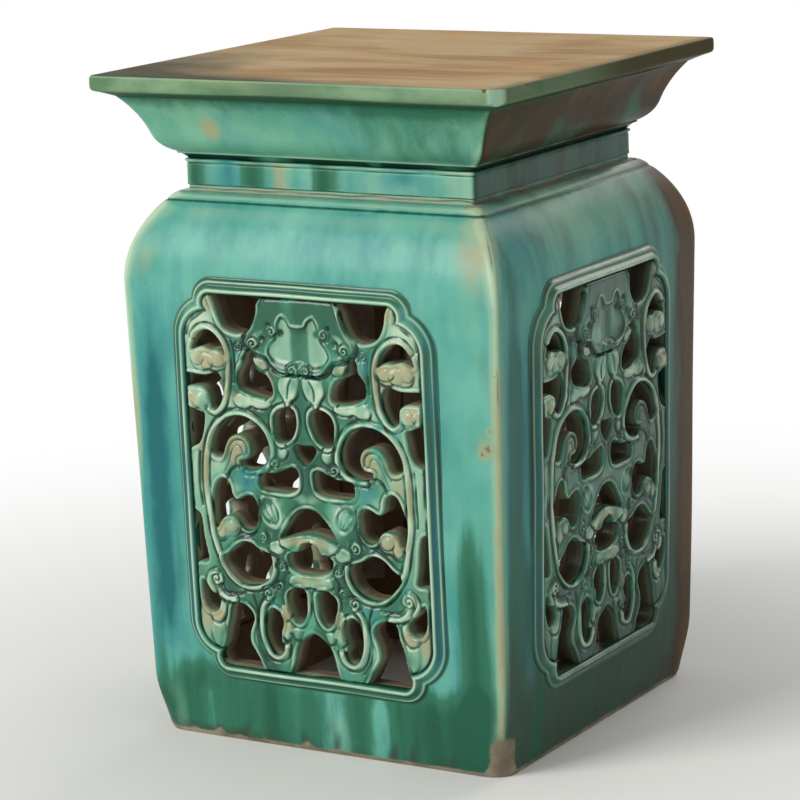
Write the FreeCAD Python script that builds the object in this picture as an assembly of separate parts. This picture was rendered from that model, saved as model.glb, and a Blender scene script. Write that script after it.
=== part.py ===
# Square glazed garden stool, hand built from clay slabs that are mitred and luted together.
# Millimetres. +Z is up, and the origin is the middle of the foot's underside.
# Front faces -Y. Every side is the same, so each side piece is made once, facing the
# front, and turned about Z for the other sides.
import FreeCAD, Part
import math
import os

V = FreeCAD.Vector

# Heights of the courses, from the foot up
wall_height = 378.0
shoulder_joint_height = 3.5
neck_height = 18.4
crown_joint_height = 3.6
crown_height = 41.0
seat_thickness = 15.5

# Widths across the flats
foot_width = 273.0
ankle_width = 280.8
shoulder_width = 292.4
wall_top_width = 234.6
neck_width = 225.0
crown_foot_width = 234.2
crown_waist_width = 258.8
crown_top_width = 289.6
seat_overhang = 12.95
seat_width = crown_top_width + 2 * seat_overhang

# Wall section
wall_thickness = 15.0
ankle_height = 45.0
shoulder_start = 317.0
body_corner_bevel = 3.2

# Neck and its joints
neck_thickness = 15.0
neck_corner_radius = 3.5
neck_bead_height = 2.4
neck_bead_reach = 1.0
shoulder_joint_setback = 1.0
crown_joint_setback = 2.5

# Crown: a convex arc that runs into a hollow one, on a thin lip
crown_thickness = 17.0
crown_lip_height = 1.5
crown_waist_rise = 14.5
crown_foot_angle = 69.0

# Seat slab
seat_edge_height = 10.5
seat_under_reach = 2.5
seat_corner_radius = 9.0
seat_arris_radius = 1.5

# Clay coils pressed into the inner corners
corner_coil_leg = 16.0
corner_coil_hollow = 3.0
seat_coil_leg = 12.0

# Window, its raised rim and the openwork tile
panel_centre_height = 185.5
panel_offset = -3.0
panel_half_width = 101.0
panel_half_height = 139.0
notch_upper_radius = 15.6
notch_upper_inset = 32.0
notch_side_radius = 28.7
notch_side_drop = 40.0
notch_cuts = 3
rim_width = 9.0
rim_seat_width = 5.0
tile_front_rise = 4.0
tile_back_depth = 12.0
seat_depth = 3.0

# Rim section from its outer toe: distance in from the toe, height above the wall
rim_section = [(0.0, 1.5), (1.6, 3.2), (4.4, 2.9), (6.0, 5.5), (9.0, 4.8)]

# The field that the openwork is drawn on; the drawing is stretched to the real field
pattern_half_width = 92.0
pattern_half_height = 130.0

# Raised shield at the top of the tile, and the vase sunk into it
shield_rise = 1.6
vase_depth = 2.6

# Openings of the tile, right half. Each line is a corner (across from the middle, up from
# the middle) and the sagitta of the arc to the next corner: above zero bows out of the
# opening, and below zero bows into it. Corners run anticlockwise.
side_openings = {
    "top_corner": [(31, 131.5, 0), (34.5, 117, 0), (40, 107.5, 0), (54, 105, 0), (66, 109, 0), (71, 116, 0), (75, 131.5, 0)],
    "crescent": [(59, 87, -5), (88, 87, 5), (75, 105.5, 5.5)],
    "upper_slot": [(93.5, 65.5, 0), (93.5, 74.5, 0), (67, 75.5, 0), (61.5, 70, 0), (62, 64, 0), (70, 51.5, 0), (75, 62, 0)],
    "upper_side": [(81, 24.5, 0), (93.5, 26, 0), (93.5, 50, 0), (84, 50.5, 0), (79.5, 43, 0)],
    "lower_side": [(82.5, -56, 0), (93.5, -56, 0), (93.5, -23, 0), (88, -22.5, 0), (86, -34, 0)],
    "upper_eye": [(72.5, 18, 9), (50, 47.5, 6), (28.5, 27, 0), (33, 15, 0), (45, 9.5, 0), (50, 16, 0), (43.5, 23, 0), (48, 30, 0),
                  (56, 30, 0), (64.5, 18.5, 0)],
    "waist": [(44, -31, 0), (55, -30, -5.5), (73.5, -30, 0), (77, -10, 0), (75, -2, 0), (68, 3.5, 0), (62.5, -5, 0),
              (50, -7, 0), (43, -7.5, 0)],
    "lower_eye": [(72.5, -51, 0), (60, -42, 0), (46, -39.5, 0), (42, -45, 0), (33.5, -45, 5.5), (46, -69, 5)],
    "wing": [(36.5, 91, 0), (37.5, 81, 0), (28, 80.5, 0), (25.5, 67, 0), (38, 63, 0), (47.5, 75, 0),
             (44, 91.5, 0)],
    "heart_side": [(10, 56.5, 0), (11.5, 35, 0), (17, 31.5, 0), (23, 38, 0), (23.5, 51, 0), (18.5, 57, 0)],
    "leaf": [(9.5, 14, 0), (8, 3, 0), (17, -4, 0), (34, -1, 0), (37, 6, 0), (19, 13, 0)],
    "drop": [(4, -70, 0), (4, -87, 0), (16.5, -91, 0), (20, -79, 0), (17.5, -69, 0)],
    "hook": [(33, -84, 0), (26, -94, 0), (28, -104, 0), (24.5, -114, 0), (32, -116, 0), (38.5, -112, 0), (40, -94, 0)],
    "bottom_side": [(48, -88, 0), (53, -106, 0), (43, -124, 0), (43, -131.5, 0), (77, -131.5, 0),
                    (76, -119, 0), (71.5, -106, 0), (67, -88, 0), (56, -84, 0)],
    "low_corner": [(81, -72.5, 0), (73, -84, 0), (80, -93, 0), (89, -86, 0), (88.5, -72, 0)],
}

# Openings on the middle line, right half from the bottom to the top; the left is mirrored
middle_openings = {
    "diamond": [(0, 18.5, 0), (8.5, 28, 0), (6, 32, 0), (0, 31, 0)],
    "arch": [(0, -28, 0), (22.5, -34.5, 0), (15, -21, 0), (2, -13, 0), (0, -13, 0)],
    "mouth": [(0, -56, 0), (14, -55, 0), (18.5, -47, 0), (8, -43.5, 0), (4, -36.5, 0), (0, -36.5, 0)],
    "bottom": [(0, -131.5, 0), (17.5, -131.5, 0), (14.5, -109, 0), (7, -103.5, 0), (0, -98.5, 0)],
}

shield_outline = [(0, 80, 0), (12, 78, 0), (24, 83, 0), (36, 94, 0), (42, 105, 0), (36, 117, 0),
                  (32, 130, 0), (0, 130, 0)]
vase_outline = [(0, 84, 0), (14, 85, 0), (21, 90, 0), (24, 97, 0), (16.5, 104, 0), (15.5, 115, 0), (11, 118.5, 0),
                (6, 115, 0), (0, 113, 0)]

# The sides and corners, each a quarter turn on from the one before it
sides = ["front", "right", "back", "left"]
corners = ["front_right", "back_right", "back_left", "front_left"]

# Levels of the joints between courses
neck_base = wall_height + shoulder_joint_height
neck_top = neck_base + neck_height
crown_base = neck_top + crown_joint_height
seat_base = crown_base + crown_height
total_height = seat_base + seat_thickness
reach = seat_width


def line(a, b):
    return Part.LineSegment(a, b).toShape()


def tangent_arc(start, tangent, end):
    """The arc that leaves start along tangent and arrives at end, in the XZ plane."""
    chord = end - start
    side = V(-tangent.z, 0, tangent.x).normalize()
    radius = chord.dot(chord) / (2 * chord.dot(side))
    centre = start + side * radius
    middle = (start + end) * 0.5 - centre
    through = centre + middle.normalize() * abs(radius)
    return Part.Arc(start, through, end).toShape()


def end_tangent(start, tangent, end):
    """The direction in which that arc arrives: the first one mirrored in the chord."""
    along = (end - start).normalize()
    straight = V(tangent).normalize()
    return along * (2 * along.dot(straight)) - straight


def inside_of(tangent):
    """Unit vector towards the middle of the stool, square to an edge that runs up."""
    return V(-tangent.z, 0, tangent.x).normalize()


def square_solid(side_edges, corner_bevel=0.0):
    """A solid with four sides alike: side_edges is its right side, from the bottom up."""
    bottom = side_edges[0].Vertexes[0].Point
    top = side_edges[-1].Vertexes[-1].Point
    mirrored = [edge.mirror(V(0, 0, 0), V(1, 0, 0)) for edge in side_edges]
    closing = [
        line(V(-bottom.x, 0, bottom.z), bottom),
        line(V(-top.x, 0, top.z), top),
    ]
    outline = Part.Wire(Part.__sortEdges__(side_edges + mirrored + closing))
    bar = Part.Face(outline).extrude(V(0, 2 * reach, 0))
    bar.translate(V(0, -reach, 0))
    cross = bar.copy()
    cross.rotate(V(0, 0, 0), V(0, 0, 1), 90)
    solid = bar.common(cross).Solids[0]
    if corner_bevel:
        solid = solid.makeChamfer(corner_bevel, corner_edges(solid))
    return solid


def corner_edges(solid):
    """Edges that run up the four corners of a square solid."""
    found = []
    for edge in solid.Edges:
        middle = edge.valueAt((edge.FirstParameter + edge.LastParameter) / 2)
        on_corner = abs(abs(middle.x) - abs(middle.y)) < 0.01
        rises = edge.BoundBox.ZLength > 0.5
        if on_corner and rises:
            found.append(edge)
    return found


def turned(shape, angle):
    copy = shape.copy()
    copy.rotate(V(0, 0, 0), V(0, 0, 1), angle)
    return copy


def side_of(shape):
    """The front quarter of a ring of clay, cut at the mitres."""
    points = [V(0, 0, 0), V(reach, -reach, 0), V(-reach, -reach, 0), V(0, 0, 0)]
    wedge = Part.Face(Part.makePolygon(points)).extrude(V(0, 0, total_height))
    return shape.common(wedge).Solids[0]


def body_points(inset):
    """Corners of the wall's section, moved in by inset square to the section."""
    foot = V(foot_width / 2, 0, 0)
    ankle = V(ankle_width / 2, 0, ankle_height)
    shoulder = V(shoulder_width / 2, 0, shoulder_start)
    top = V(wall_top_width / 2, 0, wall_height)
    rise = (shoulder - ankle).normalize()
    top_tangent = end_tangent(shoulder, rise, top)
    return {
        "foot": V(foot.x - inset, 0, 0),
        "ankle": ankle + inside_of(rise) * inset,
        "shoulder": shoulder + inside_of(rise) * inset,
        "top": top + inside_of(top_tangent) * inset,
        "rise": rise,
    }


def foot_arc(points):
    """The foot's curve: it leaves the straight wall along its line and comes in to the base."""
    return tangent_arc(points["foot"], end_tangent(points["ankle"], -points["rise"], points["foot"]) * -1,
                       points["ankle"])


def body_block():
    points = body_points(0)
    edges = [
        foot_arc(points),
        line(points["ankle"], points["shoulder"]),
        tangent_arc(points["shoulder"], points["rise"], points["top"]),
    ]
    return square_solid(edges, body_corner_bevel)


def body_hollow():
    points = body_points(wall_thickness)
    neck_inside = V(neck_width / 2 - neck_thickness, 0, wall_height)
    edges = [
        foot_arc(points),
        line(points["ankle"], points["shoulder"]),
        tangent_arc(points["shoulder"], points["rise"], points["top"]),
        line(points["top"], neck_inside),
    ]
    return square_solid(edges)


def rounded_square(half_width, radius, height):
    """A level square outline with rounded corners."""
    flat = half_width - radius
    edges = []
    for turn in range(4):
        start = V(half_width, -flat, height)
        end = V(half_width, flat, height)
        centre = V(flat, flat, height)
        corner_end = V(flat, half_width, height)
        middle = centre + V(1, 1, 0).normalize() * radius
        for edge in (line(start, end), Part.Arc(end, middle, corner_end).toShape()):
            edges.append(turned(edge, 90 * turn))
    return Part.Wire(Part.__sortEdges__(edges))


def plain_ring(outside, inside, base, height):
    """A square ring with upright faces, between two half widths."""
    outer = [line(V(outside, 0, base), V(outside, 0, base + height))]
    inner = [line(V(inside, 0, base), V(inside, 0, base + height))]
    return square_solid(outer).cut(square_solid(inner))


def neck_ring():
    """The neck band, with a narrow bead round its top."""
    half = neck_width / 2
    bead_base = neck_top - neck_bead_height
    sections = [
        rounded_square(half, neck_corner_radius, neck_base),
        rounded_square(half, neck_corner_radius, bead_base),
        rounded_square(half + neck_bead_reach, neck_corner_radius + neck_bead_reach, neck_top - neck_bead_height / 2),
        rounded_square(half, neck_corner_radius, neck_top),
    ]
    inside = half - neck_thickness
    inner = [line(V(inside, 0, neck_base), V(inside, 0, neck_top))]
    return Part.makeLoft(sections, True, True).cut(square_solid(inner))


def crown_ring():
    lip = V(crown_foot_width / 2, 0, crown_base)
    lip_top = lip + V(0, 0, crown_lip_height)
    waist = V(crown_waist_width / 2, 0, crown_base + crown_waist_rise)
    top = V(crown_top_width / 2, 0, seat_base)
    angle = math.radians(crown_foot_angle)
    leaving = V(math.sin(angle), 0, math.cos(angle))
    outer = [
        line(lip, lip_top),
        tangent_arc(lip_top, leaving, waist),
        tangent_arc(waist, end_tangent(lip_top, leaving, waist), top),
    ]
    neck_inside = V(neck_width / 2 - neck_thickness, 0, crown_base)
    top_inside = V(top.x - crown_thickness, 0, seat_base)
    inner = [line(neck_inside, top_inside)]
    return square_solid(outer).cut(square_solid(inner))


def seat_slab():
    """The seat: an upright edge over an underside that slopes down to the crown."""
    half = seat_width / 2
    edge_base = total_height - seat_edge_height
    round_off = seat_arris_radius
    under_radius = seat_corner_radius - seat_under_reach
    sections = [
        rounded_square(crown_top_width / 2, under_radius, seat_base),
        rounded_square(half - seat_under_reach, under_radius, edge_base - round_off / 2),
        rounded_square(half, seat_corner_radius, edge_base + round_off),
        rounded_square(half, seat_corner_radius, total_height - round_off),
        rounded_square(half - round_off, seat_corner_radius - round_off, total_height),
    ]
    return Part.makeLoft(sections, True, True)


def seat_coil():
    """The coil of clay that fills the inner corner between the crown and the seat."""
    inside = crown_top_width / 2 - crown_thickness
    neck_inside = neck_width / 2 - neck_thickness
    lean = (inside - neck_inside) / crown_height
    lower = V(inside - lean * seat_coil_leg, 0, seat_base - seat_coil_leg)
    on_seat = V(inside - seat_coil_leg, 0, seat_base)
    return square_solid([line(lower, V(inside, 0, seat_base))]).cut(square_solid([line(lower, on_seat)]))


def corner_coil():
    """The upright coil pressed into the front right inner corner, smoothed hollow."""
    points = body_points(wall_thickness)
    sections = []
    for point in (points["ankle"], points["shoulder"]):
        corner = V(point.x, -point.x, point.z)
        on_front = corner - V(corner_coil_leg, 0, 0)
        on_right = corner + V(0, corner_coil_leg, 0)
        bow = (on_front + on_right) * 0.5 + V(1, -1, 0).normalize() * corner_coil_hollow
        edges = [line(on_right, corner), line(corner, on_front), Part.Arc(on_front, bow, on_right).toShape()]
        sections.append(Part.Wire(edges))
    return Part.makeLoft(sections, True, True)


def panel_placement():
    """Puts a shape drawn flat, X across, Y up and Z outwards, on the front wall's face."""
    points = body_points(0)
    rise = points["rise"]
    up = V(0, -rise.x, rise.z)
    across = V(1, 0, 0)
    out = across.cross(up)
    along = (panel_centre_height - points["ankle"].z) / rise.z
    middle = points["ankle"] + rise * along
    rotation = FreeCAD.Rotation(across, up, out, "XYZ")
    return FreeCAD.Placement(V(panel_offset, -middle.x, middle.z), rotation)


def placed(shape):
    copy = shape.copy()
    copy.Placement = panel_placement().multiply(copy.Placement)
    return copy


def notch_corner(inset):
    """Where the two arcs of the frame's corner meet in a cusp, moved in by inset."""
    upper = V(panel_half_width - notch_upper_inset, panel_half_height - notch_upper_radius, 0)
    side = V(panel_half_width - notch_side_radius, panel_half_height - notch_side_drop, 0)
    upper_radius = notch_upper_radius - inset
    side_radius = notch_side_radius - inset
    between = side - upper
    gap = between.Length
    along = (upper_radius ** 2 - side_radius ** 2 + gap ** 2) / (2 * gap)
    off = math.sqrt(upper_radius ** 2 - along ** 2)
    direction = V(between).normalize()
    cusp = upper + direction * along + V(-direction.y, direction.x, 0) * off
    return upper, upper_radius, side, side_radius, cusp


def arc_about(centre, radius, start, end):
    middle = ((start + end) * 0.5 - centre).normalize()
    return Part.Arc(start, centre + middle * radius, end).toShape()


def in_cuts(arc, count):
    """The arc as straight cuts of the knife, all of one length."""
    step = (arc.LastParameter - arc.FirstParameter) / count
    ends = [arc.valueAt(arc.FirstParameter + step * number) for number in range(count + 1)]
    return [line(start, end) for start, end in zip(ends, ends[1:])]


def frame_wire(inset, height):
    """The notched outline of the window frame, inset from the rim's outer toe."""
    upper, upper_radius, side, side_radius, cusp = notch_corner(inset)
    on_top = upper + V(0, upper_radius, 0)
    on_side = side + V(side_radius, 0, 0)
    quarter = in_cuts(arc_about(side, side_radius, on_side, cusp), notch_cuts)
    quarter += in_cuts(arc_about(upper, upper_radius, cusp, on_top), notch_cuts)
    left = [edge.mirror(V(0, 0, 0), V(1, 0, 0)) for edge in quarter]
    lower = [edge.mirror(V(0, 0, 0), V(0, 1, 0)) for edge in quarter + left]
    straight = [
        line(on_top, V(-on_top.x, on_top.y, 0)),
        line(V(-on_top.x, -on_top.y, 0), V(on_top.x, -on_top.y, 0)),
        line(on_side, V(on_side.x, -on_side.y, 0)),
        line(V(-on_side.x, -on_side.y, 0), V(-on_side.x, on_side.y, 0)),
    ]
    wire = Part.Wire(Part.__sortEdges__(quarter + left + lower + straight))
    wire.translate(V(0, 0, height))
    return wire


def frame_plate(inset, low, high):
    """A plate with the notched outline, between two heights above the wall's face."""
    return Part.Face(frame_wire(inset, low)).extrude(V(0, 0, high - low))


def bowed(start, end, sagitta):
    """A line, or an arc that bows to the right of its way by sagitta."""
    if sagitta == 0:
        return line(start, end)
    along = (end - start).normalize()
    right = V(along.y, -along.x, 0)
    return Part.Arc(start, (start + end) * 0.5 + right * sagitta, end).toShape()


def chain(corners_and_bows, closed):
    edges = []
    count = len(corners_and_bows)
    for index in range(count if closed else count - 1):
        x, y, sagitta = corners_and_bows[index]
        next_x, next_y, _ = corners_and_bows[(index + 1) % count]
        edges.append(bowed(pattern_point(x, y), pattern_point(next_x, next_y), sagitta))
    return edges


def side_face(corners_and_bows):
    return Part.Face(Part.Wire(chain(corners_and_bows, True)))


def middle_face(right_half):
    """A face on the middle line, from its right half and that half's mirror image."""
    edges = chain(right_half, False)
    mirrored = [edge.mirror(V(0, 0, 0), V(1, 0, 0)) for edge in edges]
    return Part.Face(Part.Wire(Part.__sortEdges__(edges + mirrored)))


def pattern_point(x, y):
    """A corner of the pattern, on the field that the rim leaves open."""
    field_half_width = panel_half_width - rim_width
    field_half_height = panel_half_height - rim_width
    return V(x * field_half_width / pattern_half_width, y * field_half_height / pattern_half_height, 0)


def opening_faces():
    faces = [middle_face(half) for half in middle_openings.values()]
    for outline in side_openings.values():
        face = side_face(outline)
        faces.append(face)
        faces.append(face.mirror(V(0, 0, 0), V(1, 0, 0)))
    return faces


def raised_shield():
    """The shield at the top of the tile, with the vase sunk into its face."""
    top = tile_front_rise + shield_rise
    shield = middle_face(shield_outline).extrude(V(0, 0, shield_rise + seat_depth))
    shield.translate(V(0, 0, top - shield_rise - seat_depth))
    vase = middle_face(vase_outline).extrude(V(0, 0, vase_depth + shield_rise))
    vase.translate(V(0, 0, top - vase_depth))
    return shield, vase


def fretwork_tile():
    """The openwork tile: a thick field cut right through, in a thinner border under the rim."""
    field = frame_plate(rim_width, -tile_back_depth, tile_front_rise)
    border = placed(frame_plate(rim_seat_width, -tile_back_depth, seat_depth)).common(body_block())
    shield, vase = raised_shield()
    raised = field.fuse(shield).cut(vase)
    depth = tile_back_depth + tile_front_rise + shield_rise + 2 * seat_depth
    cutters = [face.extrude(V(0, 0, depth)) for face in opening_faces()]
    for cutter in cutters:
        cutter.translate(V(0, 0, -tile_back_depth - seat_depth))
    tile = placed(raised).fuse(border)
    return tile.cut([placed(cutter) for cutter in cutters]).removeSplitter().Solids[0]


def window_rim():
    """The double bead round the window, bedded on the wall and on the tile's border."""
    section = [(0.0, -seat_depth)] + rim_section + [(rim_width, -seat_depth)]
    wires = [frame_wire(inset, height) for inset, height in section]
    rim = Part.makeLoft(wires, True, True, True)
    return placed(rim).cut(body_block()).Solids[0]


def wall_with_window():
    wall = side_of(body_block().cut(body_hollow()))
    window = placed(frame_plate(rim_seat_width, -2 * wall_thickness, wall_thickness))
    return wall.cut(window).Solids[0]


def write(node, shape):
    if not shape.isValid():
        raise RuntimeError(node + " is not a valid solid")
    shape.exportStep(os.path.join("parts", node + ".step"))
    print(node, round(shape.Volume), "mm3,", len(shape.Faces), "faces")


def main():
    os.makedirs("parts", exist_ok=True)
    front_pieces = {
        "wall": wall_with_window(),
        "fretwork": fretwork_tile(),
        "rim": window_rim(),
        "neck": side_of(neck_ring()),
        "crown": side_of(crown_ring()),
    }
    for turn, side in enumerate(sides):
        for kind, piece in front_pieces.items():
            write(kind + "_" + side, turned(piece, 90 * turn))
    coil = corner_coil()
    for turn, corner in enumerate(corners):
        write("corner_coil_" + corner, turned(coil, 90 * turn))
    outside = neck_width / 2
    inside = outside - neck_thickness
    write("shoulder_joint_coil", plain_ring(outside - shoulder_joint_setback, inside, wall_height,
                                            shoulder_joint_height))
    write("crown_joint_coil", plain_ring(outside - crown_joint_setback, inside, neck_top, crown_joint_height))
    write("seat_joint_coil", seat_coil())
    write("seat_slab", seat_slab())
    print("total height", total_height)


main()
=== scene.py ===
import math

import bpy
import numpy as np
from mathutils import Matrix, Vector
from mathutils.geometry import delaunay_2d_cdt


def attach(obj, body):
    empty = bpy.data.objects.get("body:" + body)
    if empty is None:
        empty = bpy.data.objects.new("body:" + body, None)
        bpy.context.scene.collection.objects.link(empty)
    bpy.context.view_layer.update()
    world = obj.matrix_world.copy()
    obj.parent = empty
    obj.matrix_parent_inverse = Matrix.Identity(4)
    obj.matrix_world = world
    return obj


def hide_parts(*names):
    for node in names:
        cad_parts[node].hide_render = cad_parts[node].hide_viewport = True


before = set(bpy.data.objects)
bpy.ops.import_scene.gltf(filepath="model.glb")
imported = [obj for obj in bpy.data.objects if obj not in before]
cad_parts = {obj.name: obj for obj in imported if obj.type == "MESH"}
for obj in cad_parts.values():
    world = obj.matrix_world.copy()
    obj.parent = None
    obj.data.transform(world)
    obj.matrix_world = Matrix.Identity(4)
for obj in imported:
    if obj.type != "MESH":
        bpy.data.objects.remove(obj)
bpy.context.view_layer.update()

# Square glazed garden stool with an openwork tile in a notched window on every side.
# The shapes are worked out in millimetres in the frame of the solids and stored in metres.
# The front faces -Y, and the other sides are the front turned about Z.

SIDES = ("front", "right", "back", "left")
CORNERS = ("front_right", "back_right", "back_left", "front_left")

# Body: half widths and heights of the wall's outline
FOOT = (136.5, 0.0)
ANKLE = (140.4, 45.0)
SHOULDER = (146.2, 317.0)
WALL_TOP = (117.3, 378.0)
WALL_THICKNESS = 15.0

# The outline in a few straight lines, to tell how far a point of the glaze is from the surface
BODY_HEIGHTS = (FOOT[1], ANKLE[1], SHOULDER[1], 345, 365, WALL_TOP[1])
BODY_HALVES = (FOOT[0], ANKLE[0], SHOULDER[0], 140, 129, WALL_TOP[0])

# Neck, crown and seat
SHOULDER_JOINT_HALF = 111.4
NECK_HALF, NECK_BASE, NECK_TOP = 112.5, 381.5, 399.9
RING_INSIDE = 97.5
CROWN_FOOT = (117.1, 403.5)
CROWN_LIP = (117.1, 405.0)
CROWN_WAIST = (129.4, 418.0)
CROWN_TOP = (144.8, 444.5)
CROWN_ANGLE = math.radians(69)
SEAT_HALF, SEAT_EDGE_BASE = 157.75, 449.5
SEAT_FACET = 216.5

# Bead round the neck's top: reach from the neck, height from its top, how thin and how pooled
# the glaze is
NECK_BEAD = [(-0.5, -3.4, 0.0, 0.6), (-0.3, -2.8, 0.1, 0.4), (0.5, -2.1, 0.6, 0), (0.95, -1.3, 0.7, 0),
             (0.6, -0.6, 0.3, 0.2), (-0.4, -0.15, 0.0, 0.8), (-2.4, 0.0, 0, 1)]

# Underside and cove of the seat: half width, height, radius of the corners, how pooled the glaze is
SEAT_UNDER = [(20, 444.5, 3, 0.6), (80, 444.5, 3, 0.6), (130, 444.5, 3, 0.6), (144.8, 444.5, 3, 1.0),
              (148.5, 446.2, 3, 0.9), (152.6, 447.9, 3, 0.6), (155.1, 448.7, 3.2, 0.4),
              (156.7, SEAT_EDGE_BASE, 3.4, 0.25), (157.4, 450.8, 3.6, 0)]
SEAT_RINGS = (153, 149, 144, 138, 130, 120, 108, 94, 78, 60, 40, 20)

# Window: centre, half size and the two arcs of its notched corner
PANEL_HEIGHT, PANEL_OFFSET = 185.5, -3.0
PANEL_HALF_WIDTH, PANEL_HALF_HEIGHT = 101.0, 139.0
NOTCH_UPPER_RADIUS, NOTCH_UPPER_INSET = 15.6, 32.0
NOTCH_SIDE_RADIUS, NOTCH_SIDE_DROP = 28.7, 40.0
WINDOW_CUT, CUT_BACK, CUT_FRONT = 5.0, -26.0, 12.0
RIM_WIDTH = 9.0
TILE_RISE, TILE_BACK = 4.0, -12.0
TILE_REACH = (97.0, 135.0)
GRID_STEP = 0.75

# Walls of the tile's openings: heights, and how far inside the stool each is from 0 to 1
TILE_LEVELS = [(0.0, 0.3), (-4.0, 0.5), (-8.0, 0.62), (TILE_BACK + 0.8, 0.8), (TILE_BACK, 1.0)]

# Section of the rim: inset from its toe, height, how thin and how pooled the glaze is
RIM_SECTION = [
    (-1.9, 0.02, 0, 0.0), (-1.2, 0.14, 0, 0.5), (-0.5, 0.45, 0, 1.0), (0.0, 1.2, 0.1, 0.8),
    (0.5, 2.0, 0.5, 0.2), (1.1, 2.5, 0.9, 0), (1.8, 2.5, 0.4, 0.1), (2.6, 2.1, 0.0, 0.45), (3.4, 2.2, 0, 0.5),
    (4.2, 2.9, 0, 0.4), (5.0, 4.1, 0.1, 0.1), (5.8, 5.1, 0.7, 0), (6.6, 5.45, 1.4, 0), (7.4, 5.25, 0.9, 0),
    (8.2, 4.5, 0.2, 0.25), (8.8, 3.6, 0.0, 0.6), (9.0, 2.6, 0, 0.9), (9.0, -2.0, 0, 1), (0.5, -1.5, 0, 1),
    (-1.8, -0.6, 0, 1),
]

# Openings of the tile, right half, as points of smooth closed curves from the tile's middle,
# each with the strength of the bead round it
OPENINGS = {
    "top_corner": (0.5, [(31, 136), (32.5, 124), (36, 114), (40.5, 107), (47, 104), (54, 104.7), (60, 108),
        (64, 114.5), (66.5, 123), (67.5, 136)]),
    "crescent": (0.4, [(60, 89.5), (62.5, 97), (67.5, 103), (74, 105.2), (80.5, 103), (84.8, 97), (86.5, 91),
        (82, 92.5), (77.5, 93.5), (71.5, 92), (65.5, 92.3)]),
    "slot": (0.4, [(97, 65.5), (87, 65.5), (80, 65.3), (75.5, 62.5), (74, 57.5), (73, 52.5), (70, 50.5),
        (66, 54), (62.8, 61), (62.3, 68), (64.3, 74), (68, 76.3), (72, 74.5), (79, 73.5), (97, 74)]),
    "upper_side": (0.25, [(79, 47), (79.2, 41), (80.5, 34), (83, 28), (87, 24.5), (97, 23.5), (97, 50.5),
        (88, 50), (83, 48.5)]),
    "lower_side": (0.3, [(82, -55), (83, -48), (84.3, -40), (85.3, -32), (86.6, -24.5), (90, -21.5),
        (97, -22), (97, -56), (88, -57.5), (84, -57.5)]),
    "upper_eye": (0.55, [(52, 16.8), (46.5, 18), (43, 22), (43, 28), (46.5, 32.8), (52.5, 34.6), (58.5, 32.6),
        (62.3, 27.5), (64.5, 21.8), (67.2, 18), (71.3, 17.8), (75.2, 21), (75, 27.5), (72, 34.3), (67, 40),
        (60.5, 44.8), (52.5, 47.3), (44.5, 46.8), (37, 43.2), (31.2, 36.8), (28.2, 28.5), (29, 21),
        (33, 15.5), (39, 12.2), (45.5, 11.4), (51, 13)]),
    "waist": (0.55, [(40, -22), (39.6, -14), (42, -9), (46.5, -7.8), (50.5, -9), (54, -11), (57, -11),
        (59.3, -7.5), (60.2, -2.5), (62.5, 1.5), (66.5, 3), (70.5, 0.8), (74, -6), (76, -14), (76.2, -23),
        (74.8, -30.5), (72.3, -31.5), (69.5, -26), (65, -22.3), (60, -22.3), (56, -25.5), (53, -29.5),
        (48.5, -31.5), (44, -30), (41, -26.5)]),
    "lower_eye": (0.7, [(30, -51), (31, -58), (35, -64.5), (42, -69), (50, -70.5), (58, -69), (65, -63.5),
        (71, -54), (64, -48), (57.5, -42.3), (51.5, -40), (45.5, -41), (41, -44), (36.5, -45.8),
        (32, -47.3)]),
    "wing": (0.5, [(23, 64.5), (23.5, 71), (27, 77), (32.5, 79), (36, 82), (36.8, 87), (37, 91), (40, 92.7),
        (43.3, 90), (45, 84), (48.3, 79.5), (50.3, 74), (49.6, 68), (45.5, 64.8), (37, 62.3), (28, 61.3)]),
    "heart_side": (0.95, [(5.6, 51.5), (5.6, 44.5), (8.5, 37.5), (13, 33), (18.5, 31.3), (22.5, 34.5),
        (23.5, 41), (24, 47.5), (21.8, 52.5), (17, 55.5), (11.5, 56.4), (7.3, 55)]),
    "leaf": (0.6, [(6, 12.5), (6, 5.5), (8, 0.5), (14, -2.6), (22, -3), (31, -2.6), (36.3, -1), (37.6, 3.5),
        (36, 8), (30, 9.2), (22, 10.3), (15, 13.3), (9.5, 14.7)]),
    "drop": (0.9, [(4.6, -70.8), (4.1, -78), (4.9, -85.5), (7.5, -91), (11, -93.5), (15, -91), (17.8, -86),
        (19.3, -80), (19.3, -74), (15.5, -70), (10.2, -68.7)]),
    "hook": (0.95, [(24, -91.5), (27, -87), (31.5, -85), (35.5, -87.8), (38, -94.3), (38.8, -103),
        (36.5, -111), (32, -116.8), (27.5, -116.5), (24.3, -112), (26.2, -106.5), (25.8, -102), (23.8, -97)]),
    "bottom_side": (0.6, [(42, -136), (44, -124.5), (48, -117), (51.2, -111.5), (51.5, -104.5), (49.5, -99),
        (47.5, -93.5), (49.5, -88.5), (55, -85), (62, -84.5), (65.5, -88), (67, -95), (69.7, -103),
        (71.2, -110.5), (73.3, -117.3), (76.5, -121), (78, -136)]),
    "low_corner": (0.5, [(74, -84.5), (78, -80), (82.5, -75.5), (86.5, -71), (88.6, -72), (88.6, -83),
        (85.5, -90.5), (80, -92.5), (75.5, -89.5)]),
}

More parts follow.
